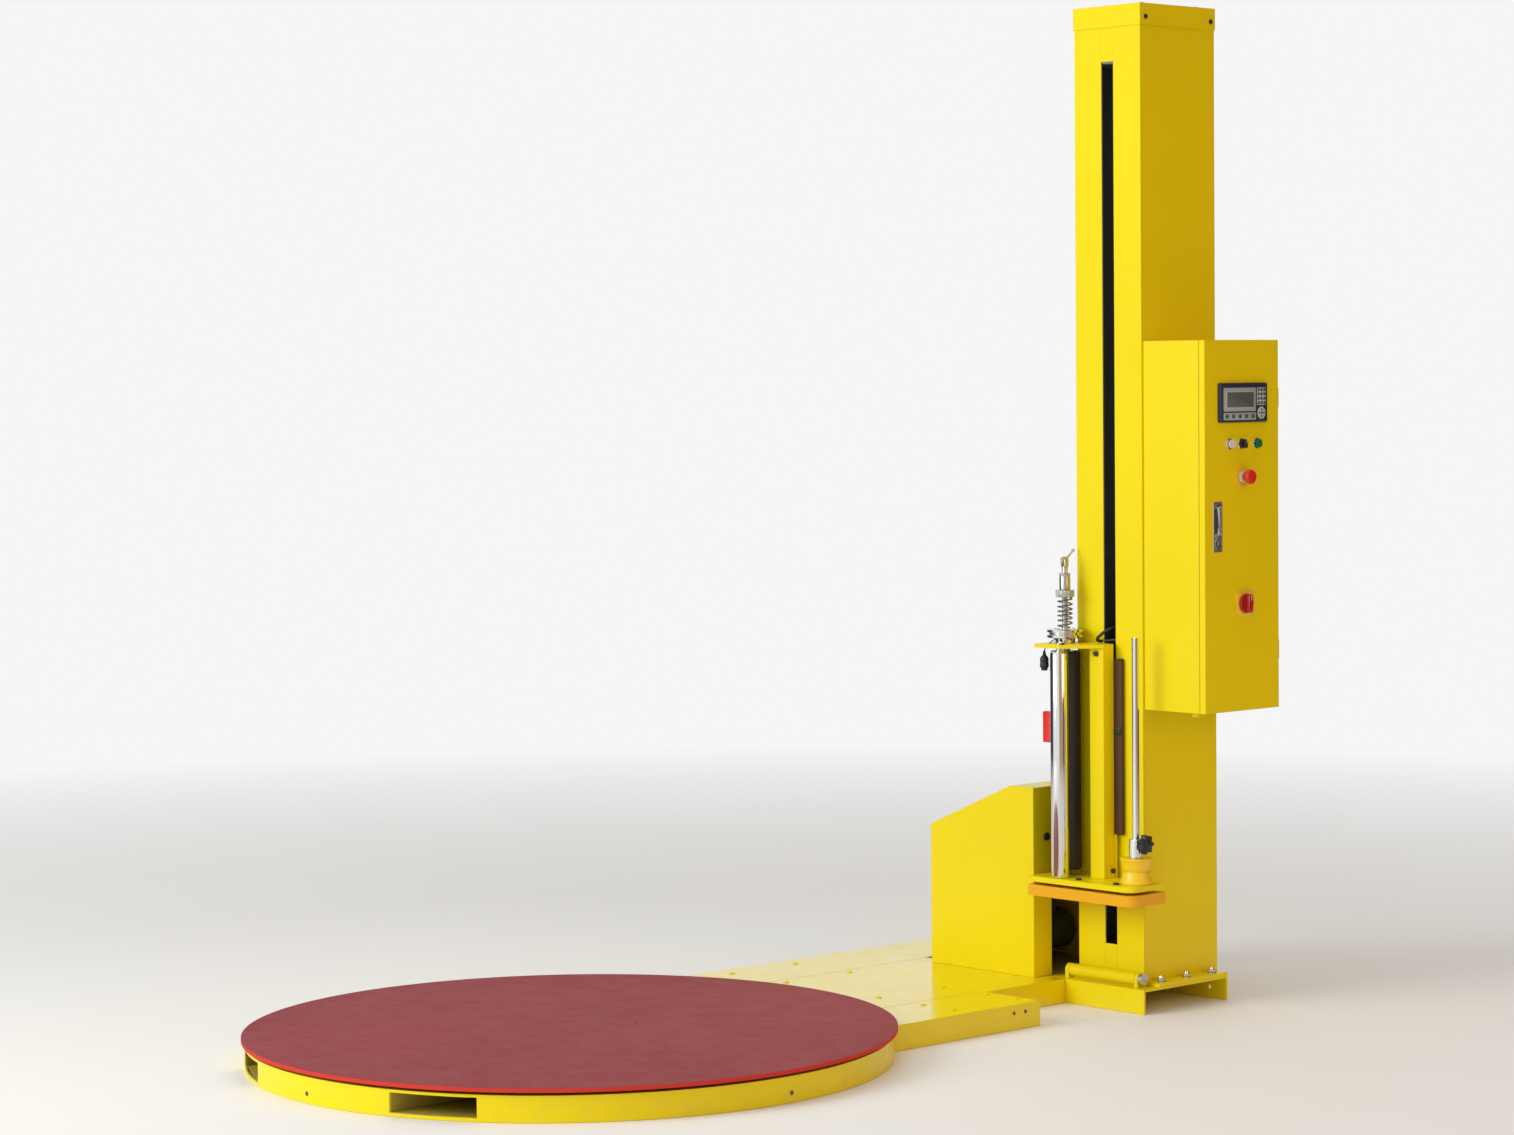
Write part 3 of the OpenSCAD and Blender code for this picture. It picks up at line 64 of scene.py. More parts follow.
def add_noise(tree, vector, scale, detail):
    node = tree.nodes.new("ShaderNodeTexNoise")
    node.inputs["Scale"].default_value = scale
    node.inputs["Detail"].default_value = detail
    wire(tree, vector, node.inputs["Vector"])
    return node.outputs["Fac"]


def add_range(tree, value, low, high, to_low, to_high):
    node = tree.nodes.new("ShaderNodeMapRange")
    node.inputs["From Min"].default_value = low
    node.inputs["From Max"].default_value = high
    node.inputs["To Min"].default_value = to_low
    node.inputs["To Max"].default_value = to_high
    wire(tree, value, node.inputs["Value"])
    return node.outputs["Result"]


def add_math(tree, operation, a, b):
    node = tree.nodes.new("ShaderNodeMath")
    node.operation = operation
    for socket, value in zip(node.inputs, (a, b)):
        if isinstance(value, (int, float)):
            socket.default_value = value
        else:
            wire(tree, value, socket)
    return node.outputs["Value"]


def add_mix(tree, factor, a, b):
    node = tree.nodes.new("ShaderNodeMix")
    node.data_type = "RGBA"
    wire(tree, factor, node.inputs["Factor"])
    for socket, value in ((node.inputs[6], a), (node.inputs[7], b)):
        if isinstance(value, tuple):
            socket.default_value = (*value, 1.0)
        else:
            wire(tree, value, socket)
    return node.outputs[2]


def finish_material(name, color, rough, metal=0.0, coat=0.0, vary=0.06, grain=90.0, depth=0.0002,
                    stretch=(1, 1, 1), wear=None, dust=0.0, specular=0.5, rough_vary=0.06, edge=0.0012,
                    painted_lit_side=None, painted_inside_shade=None):
    """A material with cloudy colour, uneven roughness and a fine surface grain.

    If asked, it has worn edges and dust too, a brighter colour on upright faces that is painted light, and a
    darker grey inside a box of its object coordinates that is painted shade."""
    made = bpy.data.materials.new(name)
    made.use_nodes = True
    tree = made.node_tree
    bsdf = tree.nodes["Principled BSDF"]
    bsdf.inputs["Metallic"].default_value = metal
    bsdf.inputs["Specular IOR Level"].default_value = specular
    bsdf.inputs["Coat Weight"].default_value = coat
    bsdf.inputs["Coat Roughness"].default_value = 0.12
    coords = tree.nodes.new("ShaderNodeTexCoord").outputs["Object"]
    mapping = tree.nodes.new("ShaderNodeMapping")
    mapping.inputs["Scale"].default_value = stretch
    wire(tree, coords, mapping.inputs["Vector"])
    cloud = add_noise(tree, coords, 2.3, 5)
    fine = add_noise(tree, mapping.outputs["Vector"], grain, 3)
    blotch = add_noise(tree, coords, 19.0, 4)
    dark = tuple(c * (1 - vary) for c in color)
    light = tuple(min(1.0, c * (1 + vary)) for c in color)
    shade = add_mix(tree, add_range(tree, cloud, 0.35, 0.65, 0, 1), dark, light)
    rough_out = add_range(tree, blotch, 0.3, 0.7, max(0.02, rough - rough_vary), rough + rough_vary)
    bevel = tree.nodes.new("ShaderNodeBevel")
    bevel.samples = 4
    bevel.inputs["Radius"].default_value = edge
    # painted light: upright faces get a brighter colour than flat tops, as if lit from the side
    if painted_lit_side:
        facing = tree.nodes.new("ShaderNodeSeparateXYZ")
        wire(tree, tree.nodes.new("ShaderNodeNewGeometry").outputs["Normal"], facing.inputs["Vector"])
        upright = add_math(tree, "ABSOLUTE", facing.outputs["Z"], 0)
        shade = add_mix(tree, add_range(tree, upright, 0.8, 0.4, 0, 1), shade, painted_lit_side)
    # painted shade: inside the given box of object coordinates the colour turns to a darker grey, standing in
    # for the shade in the hollow column
    if painted_inside_shade:
        low, high, tone = painted_inside_shade
        place = tree.nodes.new("ShaderNodeSeparateXYZ")
        wire(tree, coords, place.inputs["Vector"])
        inside_shade_mask = 1.0
        for axis, a, b in (("X", low[0], high[0]), ("Y", low[1], high[1])):
            past_low = add_math(tree, "GREATER_THAN", place.outputs[axis], a)
            inside_shade_mask = add_math(tree, "MULTIPLY", inside_shade_mask, past_low)
            before_high = add_math(tree, "LESS_THAN", place.outputs[axis], b)
            inside_shade_mask = add_math(tree, "MULTIPLY", inside_shade_mask, before_high)
        shade = add_mix(tree, inside_shade_mask, shade, tone)
    if dust > 0:
        height = tree.nodes.new("ShaderNodeSeparateXYZ")
        wire(tree, coords, height.inputs["Vector"])
        low = add_range(tree, height.outputs["Z"], 0.0, 0.11, 1, 0)
        amount = add_math(tree, "MULTIPLY", low, add_range(tree, blotch, 0.42, 0.68, 0, dust))
        shade = add_mix(tree, amount, shade, (0.34, 0.29, 0.22))
    if wear:
        geometry = tree.nodes.new("ShaderNodeNewGeometry")
        dot = tree.nodes.new("ShaderNodeVectorMath")
        dot.operation = "DOT_PRODUCT"
        wire(tree, bevel.outputs["Normal"], dot.inputs[0])
        wire(tree, geometry.outputs["Normal"], dot.inputs[1])
        worn = add_math(tree, "MULTIPLY", add_range(tree, dot.outputs["Value"], 0.97, 0.86, 0, 1),
                        add_range(tree, blotch, 0.47, 0.62, 0, 0.75))
        shade = add_mix(tree, worn, shade, wear)
    bump = tree.nodes.new("ShaderNodeBump")
    bump.inputs["Strength"].default_value = 0.35
    bump.inputs["Distance"].default_value = depth
    wire(tree, fine, bump.inputs["Height"])
    wire(tree, bevel.outputs["Normal"], bump.inputs["Normal"])
    wire(tree, shade, bsdf.inputs["Base Color"])
    wire(tree, rough_out, bsdf.inputs["Roughness"])
    wire(tree, bump.outputs["Normal"], bsdf.inputs["Normal"])
    return made


column_low, column_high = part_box("mast_column")
MATERIALS = {
    # the mast column's paint gets a darker grey inside its walls: painted shade for the hollow seen through
    # its slot
    "column_paint": finish_material("column_paint_gloss", (0.86, 0.70, 0.0015), 0.34, coat=0.10, vary=0.02,
                                    grain=420, depth=0.0001, wear=(0.60, 0.42, 0.05), specular=0.22,
                                    edge=0.0016, painted_inside_shade=((column_low.x + 0.0015, column_low.y + 0.0015),
                                                         (column_high.x - 0.0015, column_high.y - 0.0015),
                                                         (0.25, 0.27, 0.28))),
    "yellow_paint": finish_material("yellow_paint_gloss", (0.86, 0.70, 0.0015), 0.34, coat=0.10, vary=0.02,
                                    grain=420, depth=0.0001, wear=(0.60, 0.42, 0.05), dust=0.10,
                                    specular=0.22, edge=0.0016),
    "deck_paint": finish_material("deck_paint_gloss", (0.84, 0.68, 0.002), 0.20, coat=0.25, vary=0.02,
                                  grain=420, depth=0.00006, wear=(0.60, 0.42, 0.05), dust=0.06,
                                  specular=0.35, edge=0.0016),
    "frame_paint": finish_material("frame_paint_dull", (0.46, 0.37, 0.06), 0.45, coat=0.0, vary=0.12,
                                   grain=200, depth=0.0002, wear=(0.30, 0.24, 0.12), dust=0.2, specular=0.3),
    "orange_paint": finish_material("orange_paint_gloss", (0.84, 0.42, 0.012), 0.34, coat=0.10, vary=0.03,
                                    grain=420, depth=0.0001, wear=(0.5, 0.28, 0.05), specular=0.25),
    # the disc's upright edge gets a brighter red than its top: painted light from the lit side
    "maroon_paint": finish_material("maroon_paint_satin", (0.30, 0.050, 0.056), 0.62, vary=0.05, grain=300,
                                    depth=0.0002, wear=(0.42, 0.10, 0.07), specular=0.10,
                                    painted_lit_side=(0.62, 0.045, 0.032)),
    "bare_steel": finish_material("bare_steel_brushed", (0.56, 0.56, 0.57), 0.32, metal=1.0, vary=0.10,
                                  grain=60, stretch=(1, 1, 14), depth=0.00008),
    "zinc": finish_material("zinc_plated", (0.62, 0.61, 0.58), 0.28, metal=1.0, vary=0.12, grain=240,
                            depth=0.00006),
    "chrome": finish_material("chrome_polished", (0.78, 0.79, 0.80), 0.09, metal=1.0, vary=0.03, grain=30,
                              stretch=(1, 1, 30), depth=0.00001, rough_vary=0.03, edge=0.0006),
    "black_plastic": finish_material("black_plastic_moulded", (0.018, 0.018, 0.020), 0.42, vary=0.2,
                                     grain=900, depth=0.00008, edge=0.0008),
    "black_rubber": finish_material("black_rubber_ground", (0.030, 0.032, 0.032), 0.58, vary=0.14, grain=260,
                                    depth=0.00016, edge=0.001),
    "shaft_steel": finish_material("guide_shaft_ground", (0.34, 0.36, 0.38), 0.40, metal=0.75, vary=0.06,
                                   grain=60, stretch=(1, 1, 14), depth=0.00003),
    "spring_steel": finish_material("spring_steel_dark", (0.20, 0.20, 0.20), 0.30, metal=1.0, vary=0.15,
                                    grain=200, depth=0.00004),
    "brown_plastic": finish_material("brown_plastic_sheet", (0.070, 0.026, 0.021), 0.45, vary=0.12, grain=300,
                                     depth=0.0001, edge=0.001),
    "dark_band": finish_material("dark_band_plastic", (0.02, 0.018, 0.018), 0.45, vary=0.15, grain=300,
                                 depth=0.0001),
    "motor_grey": finish_material("motor_grey_cast", (0.12, 0.13, 0.14), 0.5, vary=0.12, grain=160,
                                  depth=0.0004, edge=0.002),
    "panel_navy": finish_material("panel_navy_foil", (0.022, 0.035, 0.075), 0.38, vary=0.06, grain=700,
                                  depth=0.00005, edge=0.0008),
    "panel_face": finish_material("panel_face_foil", (0.36, 0.43, 0.43), 0.42, vary=0.03, grain=700,
                                  depth=0.00004, edge=0.0004),
    "panel_screen": finish_material("panel_screen_glass", (0.115, 0.135, 0.125), 0.16, vary=0.06, grain=900,
                                    depth=0.00001, rough_vary=0.03, edge=0.0003),
    "panel_key": finish_material("panel_key_light", (0.50, 0.56, 0.58), 0.40, vary=0.04, grain=700,
                                 depth=0.00004, edge=0.0004),
    "panel_dark_key": finish_material("panel_key_dark", (0.05, 0.09, 0.11), 0.40, vary=0.08, grain=700,
                                      depth=0.00004, edge=0.0004),
    "red_plastic": finish_material("red_plastic_gloss", (0.72, 0.022, 0.014), 0.24, coat=0.3, vary=0.07,
                                   grain=500, depth=0.00004, edge=0.001),
    "dark_red_plastic": finish_material("dark_red_plastic_gloss", (0.42, 0.008, 0.012), 0.26, coat=0.3,
                                        vary=0.07, grain=500, depth=0.00004, edge=0.001),
    "white_plastic": finish_material("white_plastic_gloss", (0.74, 0.74, 0.72), 0.26, vary=0.04, grain=500,
                                     depth=0.00004, edge=0.0006),
    "green_plastic": finish_material("green_plastic_gloss", (0.008, 0.19, 0.065), 0.22, coat=0.3, vary=0.08,
                                     grain=500, depth=0.00004, edge=0.0006),
    "yellow_plastic": finish_material("yellow_plastic_turned", (0.90, 0.62, 0.012), 0.30, coat=0.15,
                                      vary=0.05, grain=40, stretch=(1, 1, 16), depth=0.00008, edge=0.001),
    "oiled_steel": finish_material("oiled_steel_dark", (0.16, 0.15, 0.14), 0.34, metal=1.0, vary=0.2,
                                   grain=120, depth=0.0001),
    "tyre": finish_material("wheel_tyre_polyurethane", (0.045, 0.04, 0.038), 0.5, vary=0.15, grain=120,
                            depth=0.0002),
}


def paint(node, key):
    """Gives a CAD node one of the materials."""
    slots = NODES[node].data.materials
    slots.clear()
    slots.append(MATERIALS[key])


# ---- Shape helpers ----

def new_piece(name, mesh_maker, body, key, replaces=(), smooth=40):
    """Makes a piece from a bmesh and gives it its material and body.

    It smooths faces that meet below an angle."""
    mesh = bpy.data.meshes.new(name)
    work = bmesh.new()
    mesh_maker(work)
    bmesh.ops.remove_doubles(work, verts=work.verts, dist=1e-6)
    bmesh.ops.recalc_face_normals(work, faces=work.faces)
    limit = math.radians(smooth)
    for edge in work.edges:
        edge.smooth = len(edge.link_faces) == 2 and edge.calc_face_angle(0) < limit
    for face in work.faces:
        face.smooth = True
    work.to_mesh(mesh)
    work.free()
    piece = bpy.data.objects.new(name, mesh)
    bpy.context.scene.collection.objects.link(piece)
    mesh.materials.append(MATERIALS[key])
    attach(piece, body)
    if replaces:
        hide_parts(*replaces)
    return piece


def side_vectors(axis):
    """Two unit vectors across an axis."""
    across = Y if abs(axis.z) > 0.9 else Z
    first = axis.cross(across).normalized()
    return first, axis.cross(first).normalized()


def turn(work, base, axis, profile, steps=64):
    """Adds a turned shape: profile is a list of (radius, distance along the axis from base)."""
    base, axis = Vector(base), Vector(axis)
    u, v = side_vectors(axis)
    rings = []
    for radius, along in profile:
        centre = base + axis * along
        if radius < 1e-6:
            rings.append([work.verts.new(centre)])
            continue
        angles = [2 * math.pi * i / steps for i in range(steps)]
        rings.append([work.verts.new(centre + radius * (math.cos(a) * u + math.sin(a) * v)) for a in angles])
    for a, b in zip(rings, rings[1:]):
        for i in range(steps):
            j = (i + 1) % steps
            if len(a) == 1 and len(b) == 1:
                continue
            if len(a) == 1:
                work.faces.new((a[0], b[i], b[j]))
            elif len(b) == 1:
                work.faces.new((a[i], b[0], a[j]))
            else:
                work.faces.new((a[i], b[i], b[j], a[j]))


def solid_profile(radius, start, end, chamfer):
    """A plain turned cylinder with chamfered ends."""
    return [(0, start), (radius - chamfer, start), (radius, start + chamfer),
            (radius, end - chamfer), (radius - chamfer, end), (0, end)]


def rounded_outline(u0, u1, v0, v1, radius, steps=6):
    """Corner points of a rectangle with round corners."""
    points = []
    corners = ((u1 - radius, v1 - radius, 0), (u0 + radius, v1 - radius, 90),
               (u0 + radius, v0 + radius, 180), (u1 - radius, v0 + radius, 270))
    for cu, cv, start in corners:
        for i in range(steps + 1):
            a = math.radians(start + 90 * i / steps)
            points.append((cu + radius * math.cos(a), cv + radius * math.sin(a)))
    return points


def plate(work, outline, place, depth, chamfer):
    """Adds a flat block from a 2-D outline.

    place turns (u, v, depth) into a point, and chamfer rounds the block's front edge."""
    cu = sum(p[0] for p in outline) / len(outline)
    cv = sum(p[1] for p in outline) / len(outline)
    reach = max(math.hypot(p[0] - cu, p[1] - cv) for p in outline)

    def ring(shrink, at):
        share = 1 - shrink / reach
        return [work.verts.new(place(cu + (u - cu) * share, cv + (v - cv) * share, at)) for u, v in outline]

    back, side, front = ring(0, 0), ring(0, depth - chamfer), ring(chamfer * 1.4, depth)
    work.faces.new(back)
    work.faces.new(front)
    for a, b in ((back, side), (side, front)):
        for i in range(len(a)):
            j = (i + 1) % len(a)
            work.faces.new((a[i], b[i], b[j], a[j]))


def tube(work, points, radius, sides=14, closed_ends=True):
    """Adds a round tube along points, its sides carried along without twist."""
    points = [Vector(p) for p in points]
    tangents = [(points[min(i + 1, len(points) - 1)] - points[max(i - 1, 0)]).normalized()
                for i in range(len(points))]
    side = side_vectors(tangents[0])[0]
    rings = []
    for point, tangent in zip(points, tangents):
        side = (side - tangent * side.dot(tangent)).normalized()
        other = tangent.cross(side)
        rings.append([work.verts.new(point + radius * (math.cos(a) * side + math.sin(a) * other))
                      for a in (2 * math.pi * k / sides for k in range(sides))])
    for a, b in zip(rings, rings[1:]):
        for i in range(sides):
            j = (i + 1) % sides
            work.faces.new((a[i], b[i], b[j], a[j]))
    if closed_ends:
        work.faces.new(rings[0])
        work.faces.new(rings[-1])


def curve_through(points, steps):
    """Points of a smooth curve through the given ones, the same curve as the CAD uses."""
    points = [Vector(p) for p in points]
    last = len(points) - 1
    made = []
    for i in range(last):
        a, b = points[max(i - 1, 0)], points[i]
        c, d = points[i + 1], points[min(i + 2, last)]
        for s in range(steps):
            t = s / steps
            made.append(0.5 * (2 * b + (c - a) * t + (2 * a - 5 * b + 4 * c - d) * t * t
                               + (3 * b - a - 3 * c + d) * t ** 3))
    return made + [points[last]]


def islands(node):
    """The boxes of a CAD node's separate solids, as (low corner, high corner)."""
    work = bmesh.new()
    work.from_mesh(NODES[node].data)
    bmesh.ops.remove_doubles(work, verts=work.verts, dist=1e-6)
    left, found = set(work.verts), []
    while left:
        stack, group = [left.pop()], []
        while stack:
            vert = stack.pop()
            group.append(vert.co.copy())
            for edge in vert.link_edges:
                other = edge.other_vert(vert)
                if other in left:
                    left.remove(other)
                    stack.append(other)
        found.append((Vector(map(min, *group)), Vector(map(max, *group))))
    work.free()
    return sorted(found, key=lambda b: tuple(b[0]))


# ---- Camera ----

def make_camera():
    """The photograph's viewpoint: a long lens, a little above the control box's middle."""
    yaw, pitch, roll = math.radians(47.48), math.radians(-2.97), math.radians(-0.57)
    ahead = Vector((math.cos(pitch) * math.cos(yaw), math.cos(pitch) * math.sin(yaw), math.sin(pitch)))
    right = Vector((math.sin(yaw), -math.cos(yaw), 0))
    up = right.cross(ahead)
    across = math.cos(roll) * right + math.sin(roll) * up
    rise = math.cos(roll) * up - math.sin(roll) * right
    data = bpy.data.cameras.new("camera")
    data.lens = 89.3
    data.sensor_width = 36
    data.clip_end = 200
    camera = bpy.data.objects.new("camera", data)
    bpy.context.scene.collection.objects.link(camera)
    turned = Matrix((across, rise, -ahead)).transposed().to_4x4()
    camera.matrix_world = Matrix.Translation((-5.998, -7.253, 1.724)) @ turned
    bpy.context.scene.camera = camera


make_camera()


# ---- Cords: the carriage's cable loop and the thin lead with its plug ----

mast_low, mast_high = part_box("mast_column")
slider_low, slider_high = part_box("slider_plate")
bracket_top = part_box("carriage_post")[1].z
bracket_under = bracket_top - BRACKET_T
front_x = mast_low.x + 0.043
middle_y = (slider_low.y + slider_high.y) / 2


def cable_route():
    x, y, z = front_x, middle_y, slider_high.z
    steps = ((24, 0, -12), (21, 0, 43), (2, 0, 73), (-26, -4, 84), (-48, 4, 78), (-60, 22, 62), (-55, 35, 50),
             (-42, 30, 47), (-34, 9, 49), (-26, -16, 50), (-17, -36, 39), (-10, -45, 20), (-9, -46, 3))
    return [(x + a / 1000, y + b / 1000, z + c / 1000) for a, b, c in steps]


def lead_route():
    x, z = front_x, bracket_top
    steps = ((-120, -372, 4), (-126, -360, 15), (-134, -338, 17), (-141, -314, 7), (-145, -296, -8),
             (-146, -288, -21))
    return [(x + a / 1000, b / 1000, z + c / 1000) for a, b, c in steps]


def make_cords():
    cable = curve_through(cable_route(), 10)
    piece = new_piece("carriage_cable_run", lambda w: tube(w, cable, 0.0045, 16), "carriage", "black_plastic",
                      ["carriage_cable"], smooth=80)

    lead = curve_through(lead_route(), 12)
    end = lead[-1]

    def plug_shape(work):
        turn(work, end, -Z, [(0, 0), (0.003, 0), (0.0042, 0.004), (0.0036, 0.006), (0.0050, 0.008),
                             (0.0044, 0.010), (0.0062, 0.013), (0.0100, 0.017), (0.0116, 0.021),
                             (0.0119, 0.030), (0.0112, 0.031), (0.0112, 0.033), (0.0119, 0.034),
                             (0.0119, 0.043), (0.0104, 0.0455), (0.0104, 0.047), (0.0090, 0.0475),
                             (0.0082, 0.0535), (0, 0.0538)], 40)
        for i in range(18):
            a = 2 * math.pi * i / 18
            centre = end + Vector((0.0115 * math.cos(a), 0.0115 * math.sin(a), -0.0385))
            turn(work, centre - Z * 0.0035, Z, [(0, 0), (0.0008, 0.0006), (0.0008, 0.0064), (0, 0.007)], 6)

    plug = new_piece("lead_plug_body", plug_shape, "carriage", "black_plastic",
                     ["lead_plug"])
    piece = new_piece("sensor_lead_run", lambda w: tube(w, lead, 0.0015, 12), "carriage", "black_rubber",
                      ["sensor_lead"], smooth=80)


make_cords()


# ---- Finish of the CAD nodes that keep their shape ----

paint("base_frame", "frame_paint")
paint("deck_plates", "deck_paint")
paint("mast_column", "column_paint")
for name in ("table_ring", "motor_cover", "mast_base", "mast_foot", "mast_cap",
             "control_box", "box_door", "carriage_post", "roller_shelf"):
    paint(name, "yellow_paint")
paint("bumper_tray", "orange_paint")
paint("turntable_disc", "maroon_paint")
for name in ("table_hub", "drive_sprocket", "top_sprocket", "bottom_sprocket", "lift_sleeve"):
    paint(name, "bare_steel")
for name in ("drive_chain", "lift_chain"):
    paint(name, "oiled_steel")
for name in ("wheel_mounts", "hinge_pin"):
    paint(name, "zinc")
paint("guide_shafts", "shaft_steel")
for name in ("mandrel_rod", "mandrel_collar"):
    paint(name, "chrome")
for name in ("carriage_screws", "disc_bolts"):
    paint(name, "black_plastic")
for i in range(1, 5):
    paint("support_wheel_%d" % i, "tyre")
paint("slider_plate", "brown_plastic")
for name in ("lift_motor", "drive_motor"):
    paint(name, "motor_grey")


# ---- Control box door ----

door_low, door_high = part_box("box_door")
face_y = door_low.y


def on_door(u, v, depth):
    """A point on the door's outside: u along X, v up, depth out of the door."""
    return Vector((u, face_y - depth, v))


def block_on_door(name, u0, u1, v0, v1, start, depth, radius, chamfer, key, replaces=()):
    outline = rounded_outline(u0, u1, v0, v1, radius)

    def shape(work):
        plate(work, outline, lambda u, v, d: on_door(u, v, start + d), depth, chamfer)

    return new_piece(name, shape, "door", key, replaces)


def make_panel():
    low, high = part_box("control_panel")
    out = face_y - low.y
    u0, u1, v0, v1 = low.x, high.x, low.z, high.z
    wide, tall = u1 - u0, v1 - v0
    face = out + 0.0004

    def bezel(work):
        plate(work, rounded_outline(u0, u1, v0, v1, 0.006), lambda u, v, d: on_door(u, v, d), out, 0.0022)
        body = rounded_outline(u0 + 0.012, u1 - 0.012, v0 + 0.011, v1 - 0.011, 0.003)
        plate(work, body, lambda u, v, d: on_door(u, v, -d), 0.036, 0.002)

    new_piece("panel_bezel", bezel, "door", "panel_navy", ["control_panel"])
    a0, a1 = u0 + 0.078 * wide, u0 + 0.75 * wide
    b0, b1 = v0 + 0.28 * tall, v0 + 0.875 * tall
    block_on_door("panel_face", a0, a1, b0, b1, out - 0.0003, 0.0007, 0.004, 0.0003, "panel_face")
    block_on_door("panel_screen_rim", a0 + 0.011, a1 - 0.007, b0 + 0.008, b1 - 0.009, out, 0.0009, 0.002,
                  0.0004, "panel_key")
    block_on_door("panel_screen", a0 + 0.0135, a1 - 0.0095, b0 + 0.0105, b1 - 0.0115, out + 0.0004, 0.0007,
                  0.001, 0.0002, "panel_screen")
    strip_top, strip_low = v0 + 0.245 * tall, v0 + 0.06 * tall
    block_on_door("panel_key_strip", a0, a1, strip_low, strip_top, out - 0.0003, 0.0007, 0.003, 0.0003,
                  "panel_face")
    step = (a1 - a0) / 5
    size = (strip_top - strip_low) * 0.30
    for i in range(5):
        cu, cv = a0 + step * (i + 0.5), (strip_top + strip_low) / 2
        new_piece("panel_key_%d" % (i + 1), lambda w, cu=cu, cv=cv: turn(
            w, on_door(cu, cv, face - 0.0002), -Y, [(0, 0), (size, 0), (size, 0.0008), (size * 0.82, 0.0013),
                                                    (0, 0.0010)], 32), "door", "panel_dark_key")
    k0, k1 = u0 + 0.775 * wide, u0 + 0.955 * wide
    m0, m1 = v0 + 0.43 * tall, v0 + 0.875 * tall
    block_on_door("panel_keypad", k0, k1, m0, m1, out - 0.0003, 0.0006, 0.002, 0.0003, "panel_key")

    def keypad(work):
        du, dv = (k1 - k0) / 3, (m1 - m0) / 4
        for i in range(3):
            for j in range(4):
                outline = rounded_outline(k0 + du * (i + 0.16), k0 + du * (i + 0.84),
                                          m0 + dv * (j + 0.16), m0 + dv * (j + 0.84), 0.0012, 3)
                plate(work, outline, lambda u, v, d: on_door(u, v, out + d), 0.0014, 0.0005)

    new_piece("panel_keypad_keys", keypad, "door", "panel_dark_key")
    cu, cv = (k0 + k1) / 2, v0 + 0.235 * tall
    pad = 0.155 * tall
    new_piece("panel_arrow_pad", lambda w: turn(w, on_door(cu, cv, out - 0.0003), -Y, [
        (0, 0), (pad, 0), (pad, 0.0008), (pad - 0.0006, 0.0012), (0, 0.0012)], 48), "door", "panel_key")

    def arrows(work):
        for i in range(4):
            a = math.pi / 2 * i
            tip, base, half = pad * 0.84, pad * 0.45, pad * 0.27
            outline = [(cu + r * math.cos(a) - s * math.sin(a), cv + r * math.sin(a) + s * math.cos(a))
                       for r, s in ((tip, 0), (base, half), (base, -half))]
            plate(work, outline, lambda u, v, d: on_door(u, v, out + 0.0005 + d), 0.0011, 0.0003)
        turn(work, on_door(cu, cv, out + 0.0005), -Y,
             [(0, 0), (pad * 0.2, 0), (pad * 0.2, 0.0012), (0, 0.0012)], 24)

    new_piece("panel_arrows", arrows, "door", "panel_dark_key")


make_panel()


def turned(name, base, axis, profile, body, key, slot, replaces=(), steps=64):
    return new_piece(name, lambda w: turn(w, base, axis, profile, steps), body, key, replaces)


def joint_at(name):
    return Vector(JOINTS[name]["pos_m"])


def node_centre(node):
    low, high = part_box(node)
    return (low + high) / 2


def make_buttons():
    stop, start = node_centre("stop_button"), node_centre("start_button")
    selector = joint_at("selector_turn")
    ring = [(0.0095, 0.0), (0.0150, 0.0), (0.0150, 0.0032), (0.0140, 0.0048), (0.0120, 0.0052),
            (0.0104, 0.0046), (0.0095, 0.0030), (0.0095, 0.0)]
    for i, x in enumerate((stop.x, selector.x, start.x)):
        base = on_door(x, stop.z, 0)
        turned("button_ring_%d" % (i + 1), base, -Y, ring, "door", "chrome", "chrome",
               ["panel_fittings"] if i == 0 else ())
        turned("button_collar_%d" % (i + 1), base, Y, [(0.0095, -0.001), (0.0108, -0.001), (0.0108, 0.012),
                                                     (0.0140, 0.012), (0.0140, 0.018), (0.0108, 0.018),
                                                     (0.0108, 0.029), (0.0095, 0.029), (0.0095, -0.001)],
               "door", "black_plastic", "black_plastic", steps=40)
    cap = [(0, -0.021), (0.0088, -0.021), (0.0088, 0.0085), (0.0116, 0.0088), (0.0120, 0.0098),
           (0.0120, 0.0125), (0.0112, 0.0138), (0.0095, 0.0140), (0.0060, 0.0131), (0, 0.0128)]
    turned("stop_button_cap", on_door(stop.x, stop.z, 0), -Y, cap, "stop_button", "white_plastic",
           "white_plastic", ["stop_button"])
    turned("start_button_cap", on_door(start.x, start.z, 0), -Y, cap, "start_button", "green_plastic",
           "green_plastic", ["start_button"])
    base = on_door(selector.x, stop.z, 0)

    def knob(work):
        turn(work, base, -Y, [(0, -0.021), (0.0088, -0.021), (0.0088, 0.006), (0.0118, 0.0062),
                              (0.0120, 0.0090), (0.0112, 0.0115), (0, 0.0118)], 56)
        outline = rounded_outline(base.x - 0.0040, base.x + 0.0040, base.z - 0.0118, base.z + 0.0118, 0.0036)
        plate(work, outline, lambda u, v, d: on_door(u, v, 0.010 + d), 0.0118, 0.0016)

    new_piece("selector_knob_body", knob, "selector_knob", "black_plastic",
              ["selector_knob"])
    mark = rounded_outline(base.x - 0.0009, base.x + 0.0009, base.z + 0.002, base.z + 0.0108, 0.0007, 3)
    new_piece("selector_pointer", lambda w: plate(w, mark, lambda u, v, d: on_door(u, v, 0.0214 + d), 0.0007,
                                                  0.0002), "selector_knob", "white_plastic")


